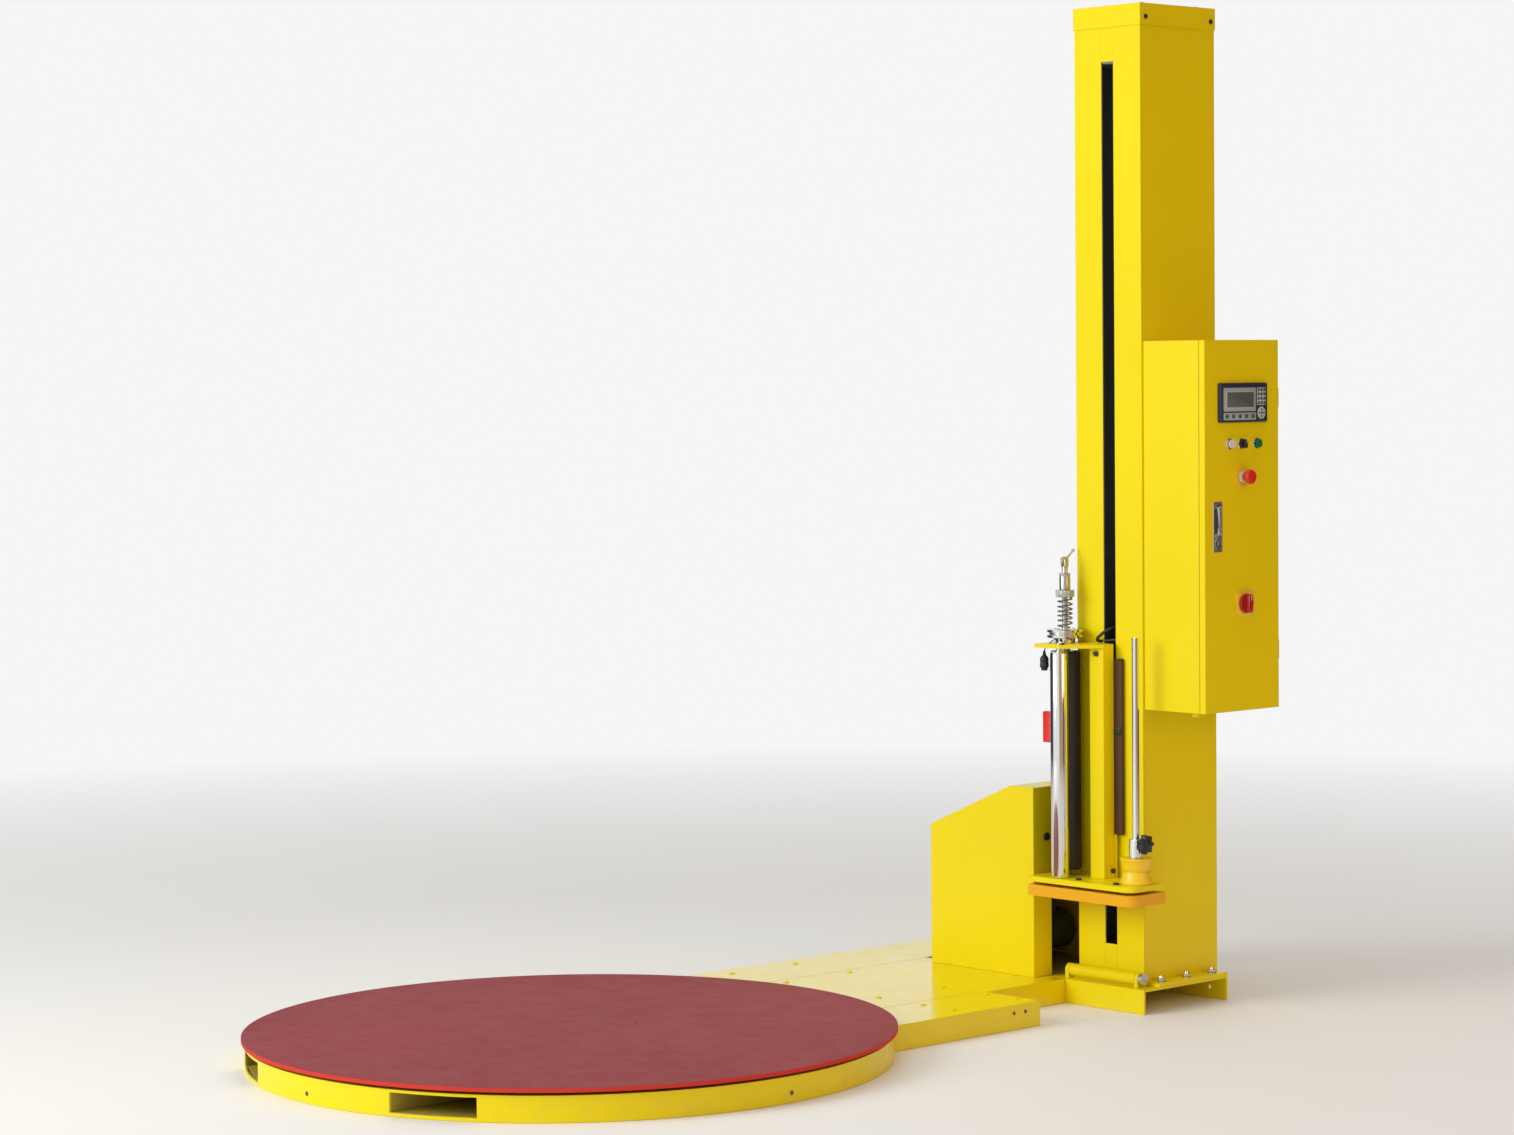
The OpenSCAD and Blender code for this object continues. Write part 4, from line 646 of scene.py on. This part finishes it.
def make_stop_switch():
    low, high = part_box("estop_button")
    x, z = (low.x + high.x) / 2, (low.z + high.z) / 2
    base = on_door(x, z, 0)
    turned("estop_plate", base, -Y, [
        (0.0095, 0), (0.030, 0), (0.030, 0.0018), (0.0288, 0.0030), (0.0165, 0.0030),
        (0.0150, 0.0022), (0.0095, 0.0022), (0.0095, 0)], "door",
        "yellow_plastic", "yellow_plastic", ["warning_plates"])
    turned("estop_collar", base, -Y, [(0.0095, -0.028), (0.0109, -0.028), (0.0109, 0.0), (0.0148, 0.0005),
                                      (0.0148, 0.0080), (0.0132, 0.0098), (0.0095, 0.0098),
                                      (0.0095, -0.028)], "door", "white_plastic", "white_plastic")
    turned("estop_mushroom", base, -Y, [(0, -0.021), (0.0088, -0.021), (0.0088, 0.013), (0.0130, 0.0150),
                                        (0.0140, 0.0200), (0.0172, 0.0222), (0.0190, 0.0245),
                                        (0.0199, 0.0285), (0.0194, 0.0320), (0.0176, 0.0344),
                                        (0.0120, 0.0357), (0, 0.0360)], "estop_button", "red_plastic",
           "red_plastic", ["estop_button"])


def make_main_switch():
    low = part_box("switch_handle")[0]
    pivot = joint_at("switch_turn")
    x, z = pivot.x, pivot.z
    base = on_door(x, z, 0)
    outline = rounded_outline(x - 0.036, x + 0.036, z - 0.036, z + 0.036, 0.006)
    new_piece("switch_plate", lambda w: plate(w, outline, on_door, 0.006, 0.0018), "door", "yellow_plastic")
    turned("switch_ring", base, -Y, [(0.0062, -0.038), (0.0108, -0.038), (0.0108, 0.004), (0.0305, 0.0045),
                                     (0.0305, 0.0060), (0.0285, 0.0062), (0.0062, 0.0062),
                                     (0.0062, -0.038)], "door", "yellow_plastic", "yellow_plastic")
    for i, (du, dv) in enumerate(((-1, -1), (-1, 1), (1, -1), (1, 1))):
        at = on_door(x + du * 0.0305, z + dv * 0.0305, 0.0052)
        turned("switch_screw_%d" % (i + 1), at, -Y, [(0, 0), (0.0026, 0), (0.0026, 0.0012), (0.0018, 0.0018),
                                                     (0.0010, 0.0012), (0, 0.0011)], "door", "zinc",
               "bare_steel", steps=24)
    top = face_y - low.y

    def handle(work):
        turn(work, base, -Y, [(0, -0.023), (0.0059, -0.023), (0.0059, 0.0062), (0.0245, 0.0065),
                              (0.0260, 0.0080), (0.0260, 0.0125), (0.0248, 0.0142), (0, 0.0146)], 72)
        grip = [(x + u, z + v) for u, v in ((0.0062, 0.0245), (-0.0062, 0.0245), (-0.0080, 0.016),
                                            (-0.0080, -0.016), (-0.0062, -0.0245), (0.0062, -0.0245),
                                            (0.0080, -0.016), (0.0080, 0.016))]
        plate(work, grip, lambda u, v, d: on_door(u, v, 0.013 + d), top - 0.013, 0.003)

    new_piece("switch_handle_body", handle, "switch_handle", "dark_red_plastic",
              ["switch_handle"])
    mark = rounded_outline(x - 0.0012, x + 0.0012, z + 0.008, z + 0.022, 0.0010, 3)
    new_piece("switch_pointer", lambda w: plate(w, mark, lambda u, v, d: on_door(u, v, top - 0.0006 + d),
                                                0.0008, 0.0002), "switch_handle", "white_plastic")


def make_latch():
    low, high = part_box("latch_paddle")
    x = (low.x + high.x) / 2
    hinge = joint_at("latch_pull")
    z = hinge.z - 0.052
    outer = rounded_outline(x - 0.018, x + 0.018, z - 0.067, z + 0.067, 0.004)
    inner = rounded_outline(x - 0.0130, x + 0.0130, z - 0.0610, z + 0.0610, 0.003)

    def dish(work):
        rings = []
        for outline, depth in ((outer, 0.0), (outer, 0.0012), (outer, 0.0020), (inner, 0.0020),
                               (inner, -0.0135)):
            shrink = 0.0006 if (outline is outer and depth > 0.0015) else 0.0
            rings.append([work.verts.new(on_door(u + (shrink if u < x else -shrink),
                                                 v + (shrink if v < z else -shrink), depth))
                          for u, v in outline])
        for a, b in zip(rings, rings[1:]):
            for i in range(len(a)):
                j = (i + 1) % len(a)
                work.faces.new((a[i], b[i], b[j], a[j]))
        work.faces.new(rings[-1])

    new_piece("latch_dish", dish, "door", "zinc")

    def paddle(work):
        turn(work, Vector((x - 0.0155, hinge.y, hinge.z)), X, solid_profile(0.0025, 0, 0.031, 0.0004), 20)
        outline = rounded_outline(x - 0.0118, x + 0.0118, z - 0.022, z + 0.0515, 0.0030)
        plate(work, outline, lambda u, v, d: Vector((u, hinge.y + 0.002 - d, v)), 0.004, 0.0012)
        turn(work, Vector((x, hinge.y + 0.001, z - 0.022)), X, [(0, -0.0118), (0.0026, -0.0112),
                                                               (0.0026, 0.0112), (0, 0.0118)], 20)

    new_piece("latch_paddle_body", paddle, "latch_paddle", "chrome", ["latch_paddle"])
    turned("latch_lock", on_door(x, z - 0.044, -0.0137), -Y, [(0, 0), (0.0098, 0), (0.0098, 0.0120),
                                                            (0.0088, 0.0132), (0.0052, 0.0134),
                                                            (0.0050, 0.0120), (0, 0.0120)], "door", "chrome",
           "chrome", steps=40)
    slit = rounded_outline(x - 0.0009, x + 0.0009, z - 0.0475, z - 0.0405, 0.0006, 3)
    new_piece("latch_keyway", lambda w: plate(w, slit, lambda u, v, d: on_door(u, v, -0.0019 + d), 0.0006,
                                              0.0001), "door", "black_plastic")


make_buttons()
make_stop_switch()
make_main_switch()
make_latch()


# ---- Fasteners ----

def screw(name, base, axis, radius, length, head, body, key, slot, replaces=()):
    """A round-headed screw with a hexagon socket: head stands out along the axis, the shank goes back."""
    shank = radius * 0.55
    socket = radius * 0.42
    turned(name, base, axis, [
        (0, -length), (shank * 0.8, -length), (shank, -length + 0.001), (shank, 0), (radius, 0),
        (radius, head * 0.55), (radius * 0.86, head * 0.9), (radius * 0.62, head), (socket, head),
        (socket, head * 0.4), (0, head * 0.4)], body, key, slot, replaces, 32)


def make_base_screws():
    count = 0
    for low, high in islands("base_screws"):
        centre = (low + high) / 2
        replaces = () if count else ["base_screws"]
        count += 1
        if high.z > 0.3:
            turned("cover_knob_%d" % count, Vector((centre.x, high.y, centre.z)), -Y, [
                (0, 0), (0.004, 0), (0.004, 0.0075), (0.0090, 0.0078), (0.0110, 0.0092), (0.0110, 0.0122),
                (0.0098, 0.0142), (0.0060, high.y - low.y), (0, high.y - low.y)], "base", "black_plastic",
                "bare_steel", replaces, 32)
        else:
            screw("deck_screw_%d" % count, Vector((centre.x, centre.y, high.z - 0.003)), Z,
                  (high.x - low.x) / 2, high.z - low.z - 0.003, 0.003, "base", "yellow_paint", "bare_steel",
                  replaces)


def make_mast_bolts():
    count = 0
    for low, high in islands("mast_bolts"):
        centre = (low + high) / 2
        replaces = () if count else ["mast_bolts"]
        count += 1
        if high.z < 0.2:
            seat = high.z - 0.016
            at = Vector((centre.x, centre.y, seat))
            turned("foot_stud_%d" % count, at, Z, [
                (0, low.z - seat), (0.0062, low.z - seat), (0.0062, 0.0148), (0.0052, 0.016), (0, 0.016)],
                "mast", "chrome", "bare_steel", replaces, 32)
            turned("foot_washer_%d" % count, at, Z, [(0.0064, 0.0001), (0.0125, 0.0001), (0.0125, 0.0018),
                                                    (0.0064, 0.0018), (0.0064, 0.0001)], "mast", "zinc",
                   "bare_steel", steps=40)
            turned("foot_nut_%d" % count, at, Z, [
                (0.0064, 0.0018), (0.0104, 0.0018), (0.0115, 0.0026), (0.0115, 0.0092), (0.0104, 0.0100),
                (0.0064, 0.0100), (0.0064, 0.0018)], "mast", "zinc", "bare_steel", steps=6)
        elif high.y - low.y > 0.0135:
            screw("cap_side_screw_%d" % count, Vector((centre.x, low.y + 0.004, centre.z)), -Y, 0.0065,
                  high.y - low.y - 0.004, 0.004, "mast", "black_plastic", "bare_steel", replaces)
        else:
            screw("cap_top_screw_%d" % count, Vector((centre.x, centre.y, high.z - 0.005)), Z, 0.0065,
                  high.z - low.z - 0.005, 0.005, "mast", "black_plastic", "bare_steel", replaces)


def make_skirt_screws():
    """Small dark socket screws in the ring's skirt, a quarter turn apart, and two in the deck's skirt whose
    dark colour is painted shade, standing in for holes there.
    """
    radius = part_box("table_ring")[1].y
    for i, out in enumerate((Y, -X, -Y)):
        screw("ring_screw_%d" % (i + 1), out * (radius - 0.0002) + Z * 0.024, out, 0.0055, 0.004, 0.0020,
              "base", "oiled_steel", "bare_steel")
    deck_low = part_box("deck_plates")[0]
    # painted shade: two dark screws stand where holes in the deck's skirt show dark
    for i, x in enumerate((1.077, 1.120)):
        screw("skirt_hole_shade_screw_%d" % (i + 1), Vector((x, deck_low.y + 0.0002, 0.044)), -Y, 0.0050, 0.004, 0.0020,
              "base", "oiled_steel", "bare_steel")


make_base_screws()
make_mast_bolts()
make_skirt_screws()


# ---- Film carriage ----

def make_rollers():
    low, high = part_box("chrome_roller")
    centre = node_centre("chrome_roller")
    radius = (high.x - low.x) / 2
    shelf_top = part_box("roller_shelf")[1].z
    bottom, top = shelf_top + 0.0003, bracket_under - 0.011
    turned("chrome_roller_tube", Vector((centre.x, centre.y, 0)), Z, [
        (0, low.z), (0.0078, low.z), (0.0085, low.z + 0.0008), (0.0085, bottom), (radius - 0.004, bottom),
        (radius - 0.002, bottom + 0.0003), (radius - 0.0008, bottom + 0.0020), (radius, bottom + 0.0045),
        (radius, top - 0.0045), (radius - 0.0008, top - 0.0020), (radius - 0.002, top - 0.0003),
        (0.0110, top), (0.0110, top + 0.004), (0.0085, top + 0.004), (0.0085, high.z - 0.0012),
        (0.0073, high.z), (0, high.z)], "chrome_roller", "chrome", "chrome", ["chrome_roller"], 96)
    centre = joint_at("rubber_roller_spin")
    low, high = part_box("rubber_roller")
    radius = (high.x - low.x) / 2
    bottom, top = shelf_top + 0.015, bracket_under - 0.012
    at = Vector((centre.x, centre.y, 0))
    turned("rubber_roller_cover", at, Z, [
        (0.0240, bottom + 0.0020), (radius - 0.006, bottom + 0.0002), (radius - 0.003, bottom + 0.0008),
        (radius - 0.0008, bottom + 0.0032), (radius, bottom + 0.0065), (radius, top - 0.0065),
        (radius - 0.0008, top - 0.0032), (radius - 0.003, top - 0.0008), (radius - 0.006, top - 0.0002),
        (0.0240, top - 0.0020), (0.0240, bottom + 0.0020)], "rubber_roller", "black_rubber", "black_rubber",
        ["rubber_roller"], 96)
    turned("rubber_roller_core", at, Z, [
        (0.00805, low.z), (0.0140, low.z), (0.0140, bottom + 0.001), (0.0242, bottom + 0.001),
        (0.0242, top - 0.001), (0.0140, top - 0.001), (0.0140, high.z), (0.00805, high.z),
        (0.00805, low.z)], "rubber_roller", "bare_steel", "bare_steel", (), 56)


def make_brake():
    low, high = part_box("brake_discs")
    at = joint_at("rubber_roller_spin")
    base = Vector((at.x, at.y, 0))
    radius = (high.x - low.x) / 2
    hub_top, disc, groove = low.z + 0.013, 0.009, 0.006
    turned("brake_disc_pair", base, Z, [
        (0.00805, low.z), (0.0260, low.z), (0.0270, low.z + 0.001), (0.0270, hub_top),
        (radius - 0.003, hub_top), (radius, hub_top + 0.0018), (radius, hub_top + disc - 0.0015),
        (radius - 0.0015, hub_top + disc), (radius - 0.0058, hub_top + disc + 0.0012),
        (radius - 0.0058, hub_top + disc + groove - 0.0012), (radius - 0.0015, hub_top + disc + groove),
        (radius, hub_top + disc + groove + 0.0015), (radius, high.z - 0.0018), (radius - 0.003, high.z),
        (0.030, high.z), (0.029, high.z - 0.0012), (0.022, high.z - 0.0012), (0.021, high.z),
        (0.00805, high.z), (0.00805, low.z)], "rubber_roller", "chrome", "chrome", ["brake_discs"], 96)
    for i in range(4):
        a = math.radians(20 + 90 * i)
        side = Vector((math.cos(a), math.sin(a), 0))
        turned("brake_hub_screw_%d" % (i + 1), base + side * 0.0255 + Z * (low.z + 0.0066), side,
               [(0, 0), (0.0042, 0), (0.0042, 0.0024), (0.0034, 0.0030), (0.0020, 0.0022), (0, 0.0022)],
               "rubber_roller", "black_plastic", "black_plastic", steps=28)
    low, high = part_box("brake_spring")
    wire_r, spring_r = 0.0022, 0.019
    turns, steps = 6, 28
    coil = []
    for i in range(turns * steps + 1):
        t = i / (turns * steps)
        eased = t + 0.022 * math.sin(2 * math.pi * t)
        a = 2 * math.pi * i / steps
        coil.append((at.x + spring_r * math.cos(a), at.y + spring_r * math.sin(a),
                     low.z + wire_r + (high.z - low.z - 2 * wire_r) * eased))
    new_piece("brake_spring_coil", lambda w: tube(w, coil, wire_r, 12), "carriage", "spring_steel",
              ["brake_spring"], smooth=80)
    low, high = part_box("brake_nut")
    nut_r = (high.x - low.x) / 2

    def knurled(work):
        count = 44
        rings = []
        for z, shrink, tooth in ((low.z, 0.0022, 0), (low.z + 0.0016, 0.0006, 1),
                                 (high.z - 0.0016, 0.0006, 1), (high.z, 0.0022, 0)):
            ring = []
            for i in range(count * 4):
                a = 2 * math.pi * i / (count * 4)
                r = nut_r - shrink - (0.0009 if tooth and i % 4 >= 2 else 0)
                ring.append(work.verts.new((at.x + r * math.cos(a), at.y + r * math.sin(a), z)))
            rings.append(ring)
        for a, b in zip(rings, rings[1:]):
            for i in range(len(a)):
                j = (i + 1) % len(a)
                work.faces.new((a[i], b[i], b[j], a[j]))
        bore = []
        for z in (low.z, high.z):
            bore.append([work.verts.new((at.x + 0.0081 * math.cos(2 * math.pi * i / 44),
                                         at.y + 0.0081 * math.sin(2 * math.pi * i / 44), z))
                         for i in range(44)])
        for outer, inner in ((rings[0], bore[0]), (rings[-1], bore[1])):
            for i in range(44):
                j = (i + 1) % 44
                work.faces.new((inner[i], inner[j]) + tuple(outer[k % 176] for k in
                                                            range(4 * i + 4, 4 * i - 1, -1)))
        for i in range(44):
            j = (i + 1) % 44
            work.faces.new((bore[0][i], bore[1][i], bore[1][j], bore[0][j]))

    new_piece("brake_nut_knurled", knurled, "brake_nut", "bare_steel", ["brake_nut"], smooth=25)
    make_spindle(base, high.z)
    make_lever()


def make_spindle(base, nut_top):
    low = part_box("brake_spindle")[0]
    lever = joint_at("brake_lever_flip")
    thread = []
    z = bracket_top + 0.038
    while z < nut_top - 0.024:
        thread += [(0.0080, z), (0.0074, z + 0.0010), (0.0080, z + 0.0020)]
        z += 0.0022
    collar_top = nut_top + 0.046
    neck_top = lever.z - 0.0165
    profile = ([(0, low.z), (0.0072, low.z), (0.0080, low.z + 0.001)] + thread + [
        (0.0080, nut_top + 0.0004), (0.0136, nut_top + 0.0004), (0.0150, nut_top + 0.0018),
        (0.0150, collar_top - 0.012), (0.0142, collar_top - 0.010), (0.0142, collar_top - 0.008),
        (0.0150, collar_top - 0.006), (0.0150, collar_top - 0.0015), (0.0135, collar_top),
        (0.0088, collar_top + 0.0006), (0.0080, collar_top + 0.003), (0.0080, neck_top), (0, neck_top)])
    turned("brake_spindle_shaft", base, Z, profile, "carriage", "bare_steel", "bare_steel",
           ["brake_spindle"], 56)

    def fork(work):
        for side in (-1, 1):
            y0 = base.y + side * 0.0044
            outline = rounded_outline(base.x - 0.0074, base.x + 0.0074, neck_top - 0.002, lever.z + 0.0058,
                                      0.0040)
            plate(work, outline, lambda u, v, d: Vector((u, y0 + side * d, v)), 0.0036, 0.0008)

    new_piece("brake_fork", fork, "carriage", "bare_steel")
    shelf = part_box("roller_shelf")
    turned("brake_spindle_nut", Vector((base.x, base.y, shelf[1].z - 0.012)), Z, [
        (0.0082, 0), (0.0128, 0), (0.0140, 0.0014), (0.0140, 0.0066), (0.0128, 0.0080), (0.0082, 0.0080)],
        "carriage", "zinc", "bare_steel", steps=6)
    turned("brake_thrust_washer", Vector((base.x, base.y, shelf[1].z)), Z, [
        (0.0081, 0), (0.0130, 0), (0.0130, 0.0035), (0.0081, 0.0035), (0.0081, 0)], "carriage", "zinc",
        "bare_steel", steps=40)


def make_lever():
    pivot = joint_at("brake_lever_flip")
    tilt = math.radians(52)
    along = Vector((math.sin(tilt), 0, math.cos(tilt)))

    def cam(work):
        outline = []
        for i in range(40):
            a = 2 * math.pi * i / 40
            r = 0.0112 + 0.0017 * math.cos(a - math.radians(200))
            outline.append((pivot.x + r * math.cos(a), pivot.z + r * math.sin(a)))
        plate(work, outline, lambda u, v, d: Vector((u, pivot.y + 0.0038 - d, v)), 0.0076, 0.0008)
        turn(work, pivot - Y * 0.0128, Y, solid_profile(0.0030, 0, 0.0256, 0.0006), 24)
        turn(work, pivot, along, [(0, 0.006), (0.0038, 0.006), (0.0034, 0.014), (0.0026, 0.030),
                                  (0.0028, 0.038), (0.0040, 0.0405), (0.0045, 0.0430), (0.0040, 0.0455),
                                  (0.0024, 0.0465), (0, 0.0466)], 24)
        hook = [pivot + Vector((r * math.cos(math.radians(a)), 0, r * math.sin(math.radians(a))))
                for a, r in ((150, 0.0095), (165, 0.0115), (185, 0.0127), (205, 0.0127), (222, 0.0127))]
        tube(work, hook, 0.0026, 12)

    new_piece("brake_lever_body", cam, "brake_lever", "bare_steel", ["brake_lever"])


def make_mandrel():
    x, y = node_centre("mandrel_rod").x, node_centre("mandrel_rod").y
    at = Vector((x, y, 0))
    low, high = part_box("lower_cone")
    r1, tall = (high.x - low.x) / 2, high.z - low.z
    turned("lower_cone_body", at + Z * low.z, Z, [
        (0.00955, 0), (r1 - 0.0010, 0), (r1, 0.0010), (r1, 0.0040), (r1 - 0.0012, 0.0050),
        (r1 - 0.0022, 0.0060), (r1 - 0.0066, tall * 0.62), (r1 - 0.0088, tall - 0.0012),
        (r1 - 0.0100, tall), (0.0115, tall), (0.00955, tall - 0.0015), (0.00955, 0)], "lower_cone",
        "yellow_plastic", "yellow_plastic", ["lower_cone"], 96)
    low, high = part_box("upper_cone")
    r2 = (high.x - low.x) / 2
    turned("upper_cone_body", at + Z * low.z, Z, [
        (0.00955, 0.0015), (0.0115, 0), (r2 - 0.0092, 0), (r2 - 0.0080, 0.0012),
        (r2 - 0.0060, tall * 0.38), (r2 - 0.0022, tall - 0.0060), (r2 - 0.0012, tall - 0.0050),
        (r2, tall - 0.0042), (r2, tall - 0.0010), (r2 - 0.0010, tall), (0.026, tall), (0.024, tall - 0.0015),
        (0.020, tall - 0.0015), (0.019, tall), (0.00955, tall), (0.00955, 0.0015)], "upper_cone",
        "yellow_plastic", "yellow_plastic", ["upper_cone"], 96)
    low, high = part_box("mandrel_rod")
    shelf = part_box("roller_shelf")[1].z
    turned("mandrel_rod_bar", at, Z, [
        (0, low.z), (0.0085, low.z), (0.0095, low.z + 0.001), (0.0095, high.z - 0.0016),
        (0.0079, high.z), (0, high.z)], "carriage", "chrome", "chrome", ["mandrel_rod"], 56)
    turned("mandrel_nut", at + Z * (shelf - 0.012), Z, [
        (0.0097, 0), (0.0138, 0), (0.0150, 0.0014), (0.0150, 0.0066), (0.0138, 0.0080), (0.0097, 0.0080)],
        "carriage", "zinc", "bare_steel", steps=6)
    low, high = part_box("mandrel_collar")
    knob_low, knob_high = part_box("collar_knob")
    knob_z = (knob_low.z + knob_high.z) / 2

    def collar(work):
        turn(work, at, Z, [(0.00955, low.z), (0.0178, low.z), (0.0190, low.z + 0.0012),
                           (0.0190, high.z - 0.0012), (0.0178, high.z), (0.0100, high.z),
                           (0.00955, high.z - 0.0005), (0.00955, low.z)], 64)

    new_piece("mandrel_collar_body", collar, "mandrel_collar", "chrome", ["mandrel_collar"])
    turned("mandrel_collar_boss", Vector((x, y - 0.0165, knob_z)), -Y, [
        (0.00405, 0), (0.0080, 0), (0.0080, 0.0058), (0.0072, 0.0065), (0.00405, 0.0065)], "mandrel_collar",
        "chrome", "chrome", steps=36)
    front, back = knob_low.y, y - 0.019 - 0.0043

    def star(work):
        outline = []
        for i in range(112):
            a = 2 * math.pi * i / 112
            wave = math.cos(7 * a)
            lobe = wave ** 0.55 if wave > 0 else -0.62 * abs(wave) ** 0.8
            outline.append((x + (0.0222 + 0.0045 * lobe) * math.cos(a),
                            knob_z + (0.0222 + 0.0045 * lobe) * math.sin(a)))
        depth = back - front - 0.004
        plate(work, outline, lambda u, v, d: Vector((u, back - 0.002 - d, v)), depth, 0.0030)
        turn(work, Vector((x, back, knob_z)), -Y, [(0, 0), (0.0100, 0), (0.0130, 0.003), (0.0130, 0.004),
                                                  (0, 0.004)], 40)
        turn(work, Vector((x, front, knob_z)), Y, [(0, 0), (0.0105, 0), (0.0125, 0.0015), (0.0130, 0.004),
                                                  (0, 0.004)], 40)
        turn(work, Vector((x, back, knob_z)), Y, [(0, -0.001), (0.0038, -0.001), (0.0038, 0.0115),
                                                 (0.0030, 0.0125), (0, 0.0125)], 24)

    new_piece("collar_knob_star", star, "collar_knob", "black_plastic", ["collar_knob"])


def make_slider_band():
    """The dark band set into the slider plate's notch."""
    low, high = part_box("slider_plate")
    z0, z1 = high.z - 0.2025, high.z - 0.1815
    outline = rounded_outline(low.y + 0.0006, high.y - 0.0006, z0, z1, 0.001)
    new_piece("slider_band", lambda w: plate(w, outline, lambda u, v, d: Vector((low.x + 0.0019 - d, u, v)),
                                             0.0026, 0.0004), "carriage", "dark_band")


def make_sensor():
    low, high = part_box("height_sensor")
    rod_x, rod_y = low.x + 0.012, low.y + 0.004
    body_low = high.z - 0.084
    outline = rounded_outline(low.x, high.x, low.y + 0.004, high.y, 0.003)
    outline = [(u, v) for u, v in outline]

    def body(work):
        plate(work, outline, lambda u, v, d: Vector((u, v, body_low + d)), 0.084, 0.002)

    new_piece("height_sensor_body", body, "carriage", "red_plastic", ["height_sensor"])
    turned("height_sensor_rod", Vector((rod_x, rod_y, 0)), Z, solid_profile(0.0040, low.z, high.z - 0.014,
                                                                           0.0006), "carriage", "zinc",
           "bare_steel", steps=32)
    turned("height_sensor_lens", Vector((low.x + 0.0004, (low.y + high.y) / 2 + 0.003, high.z - 0.022)), -X, [
        (0, -0.001), (0.0075, -0.001), (0.0075, 0.0), (0.0062, 0.0004), (0, 0.0002)], "carriage",
        "panel_screen", "red_plastic", steps=40)


make_rollers()
make_brake()
make_mandrel()
make_slider_band()
make_sensor()


# ---- Stage ----

def make_stage():
    def ground(work):
        turn(work, (0.6, 0, 0), Z, [(0, -0.0006), (3, -0.0006), (9, -0.0006)], 96)

    mesh = bpy.data.meshes.new("floor")
    work = bmesh.new()
    ground(work)
    work.to_mesh(mesh)
    work.free()
    floor = bpy.data.objects.new("floor", mesh)
    bpy.context.scene.collection.objects.link(floor)
    pale = bpy.data.materials.new("floor_pale")
    pale.use_nodes = True
    tree = pale.node_tree
    bsdf = tree.nodes["Principled BSDF"]
    coords = tree.nodes.new("ShaderNodeTexCoord").outputs["Object"]
    tone = add_mix(tree, add_noise(tree, coords, 1.3, 3), (0.90, 0.895, 0.88), (0.93, 0.925, 0.91))
    wire(tree, tone, bsdf.inputs["Base Color"])
    bsdf.inputs["Roughness"].default_value = 0.75
    bsdf.inputs["Specular IOR Level"].default_value = 0.2
    away = tree.nodes.new("ShaderNodeVectorMath")
    away.operation = "DISTANCE"
    away.inputs[1].default_value = (0.6, 0, 0)
    wire(tree, coords, away.inputs[0])
    clear = tree.nodes.new("ShaderNodeBsdfTransparent")
    blend = tree.nodes.new("ShaderNodeMixShader")
    wire(tree, add_range(tree, away.outputs["Value"], 2.6, 7.5, 0, 1), blend.inputs["Fac"])
    wire(tree, bsdf.outputs["BSDF"], blend.inputs[1])
    wire(tree, clear.outputs["BSDF"], blend.inputs[2])
    wire(tree, blend.outputs["Shader"], tree.nodes["Material Output"].inputs["Surface"])
    mesh.materials.append(pale)


def make_world():
    """Soft surroundings: a bright side on the left, a white backdrop ahead, a warm dim side on the right."""
    world = bpy.data.worlds.new("studio")
    bpy.context.scene.world = world
    world.use_nodes = True
    tree = world.node_tree
    background = tree.nodes["Background"]
    direction = tree.nodes.new("ShaderNodeTexCoord").outputs["Generated"]
    parts = tree.nodes.new("ShaderNodeSeparateXYZ")
    wire(tree, direction, parts.inputs["Vector"])
    turned_to = add_math(tree, "ARCTAN2", parts.outputs["Y"], parts.outputs["X"])
    share = add_range(tree, turned_to, -math.pi, math.pi, 0, 1)
    ramp = tree.nodes.new("ShaderNodeValToRGB")
    wire(tree, share, ramp.inputs["Fac"])
    bright, dark, warm, backdrop = (1.0, 1.0, 0.97), (0.05, 0.05, 0.06), (0.50, 0.34, 0.22), (1.0, 1.0, 1.0)
    stops = ((0.0, bright), (0.09, bright), (0.125, warm), (0.235, warm), (0.25, dark), (0.275, dark),
             (0.29, warm), (0.33, warm), (0.37, dark), (0.54, dark), (0.58, backdrop), (0.68, backdrop),
             (0.72, dark), (0.86, dark), (0.90, bright), (1.0, bright))
    elements = ramp.color_ramp.elements
    elements[0].position, elements[0].color = stops[0][0], (*stops[0][1], 1)
    elements[1].position, elements[1].color = stops[-1][0], (*stops[-1][1], 1)
    for place, tone in stops[1:-1]:
        element = elements.new(place)
        element.color = (*tone, 1)
    above = add_range(tree, parts.outputs["Z"], 0.35, 0.85, 0, 1)
    mixed = add_mix(tree, above, ramp.outputs["Color"], (0.55, 0.55, 0.55))
    wire(tree, mixed, background.inputs["Color"])
    background.inputs["Strength"].default_value = 0.92


def add_light(name, place, target, size, power, tone):
    data = bpy.data.lights.new(name, "AREA")
    data.shape = "RECTANGLE"
    data.size, data.size_y = size
    data.energy = power
    data.color = tone
    light = bpy.data.objects.new(name, data)
    bpy.context.scene.collection.objects.link(light)
    light.location = place
    light.rotation_euler = (Vector(target) - Vector(place)).to_track_quat("-Z", "Y").to_euler()


make_stage()
make_world()
add_light("key_left", (-5.5, 1.5, 3.2), (1.2, -0.1, 1.0), (3.5, 4.0), 260, (0.97, 1.0, 0.95))
add_light("fill_front", (1.5, -7.5, 3.0), (1.2, -0.4, 1.1), (4.0, 3.0), 95, (1.0, 0.58, 0.36))
add_light("top", (0.5, 0.5, 6.0), (0.5, 0.0, 0.0), (5.0, 5.0), 62, (1.0, 0.99, 0.97))
bpy.context.scene.view_settings.view_transform = "Standard"
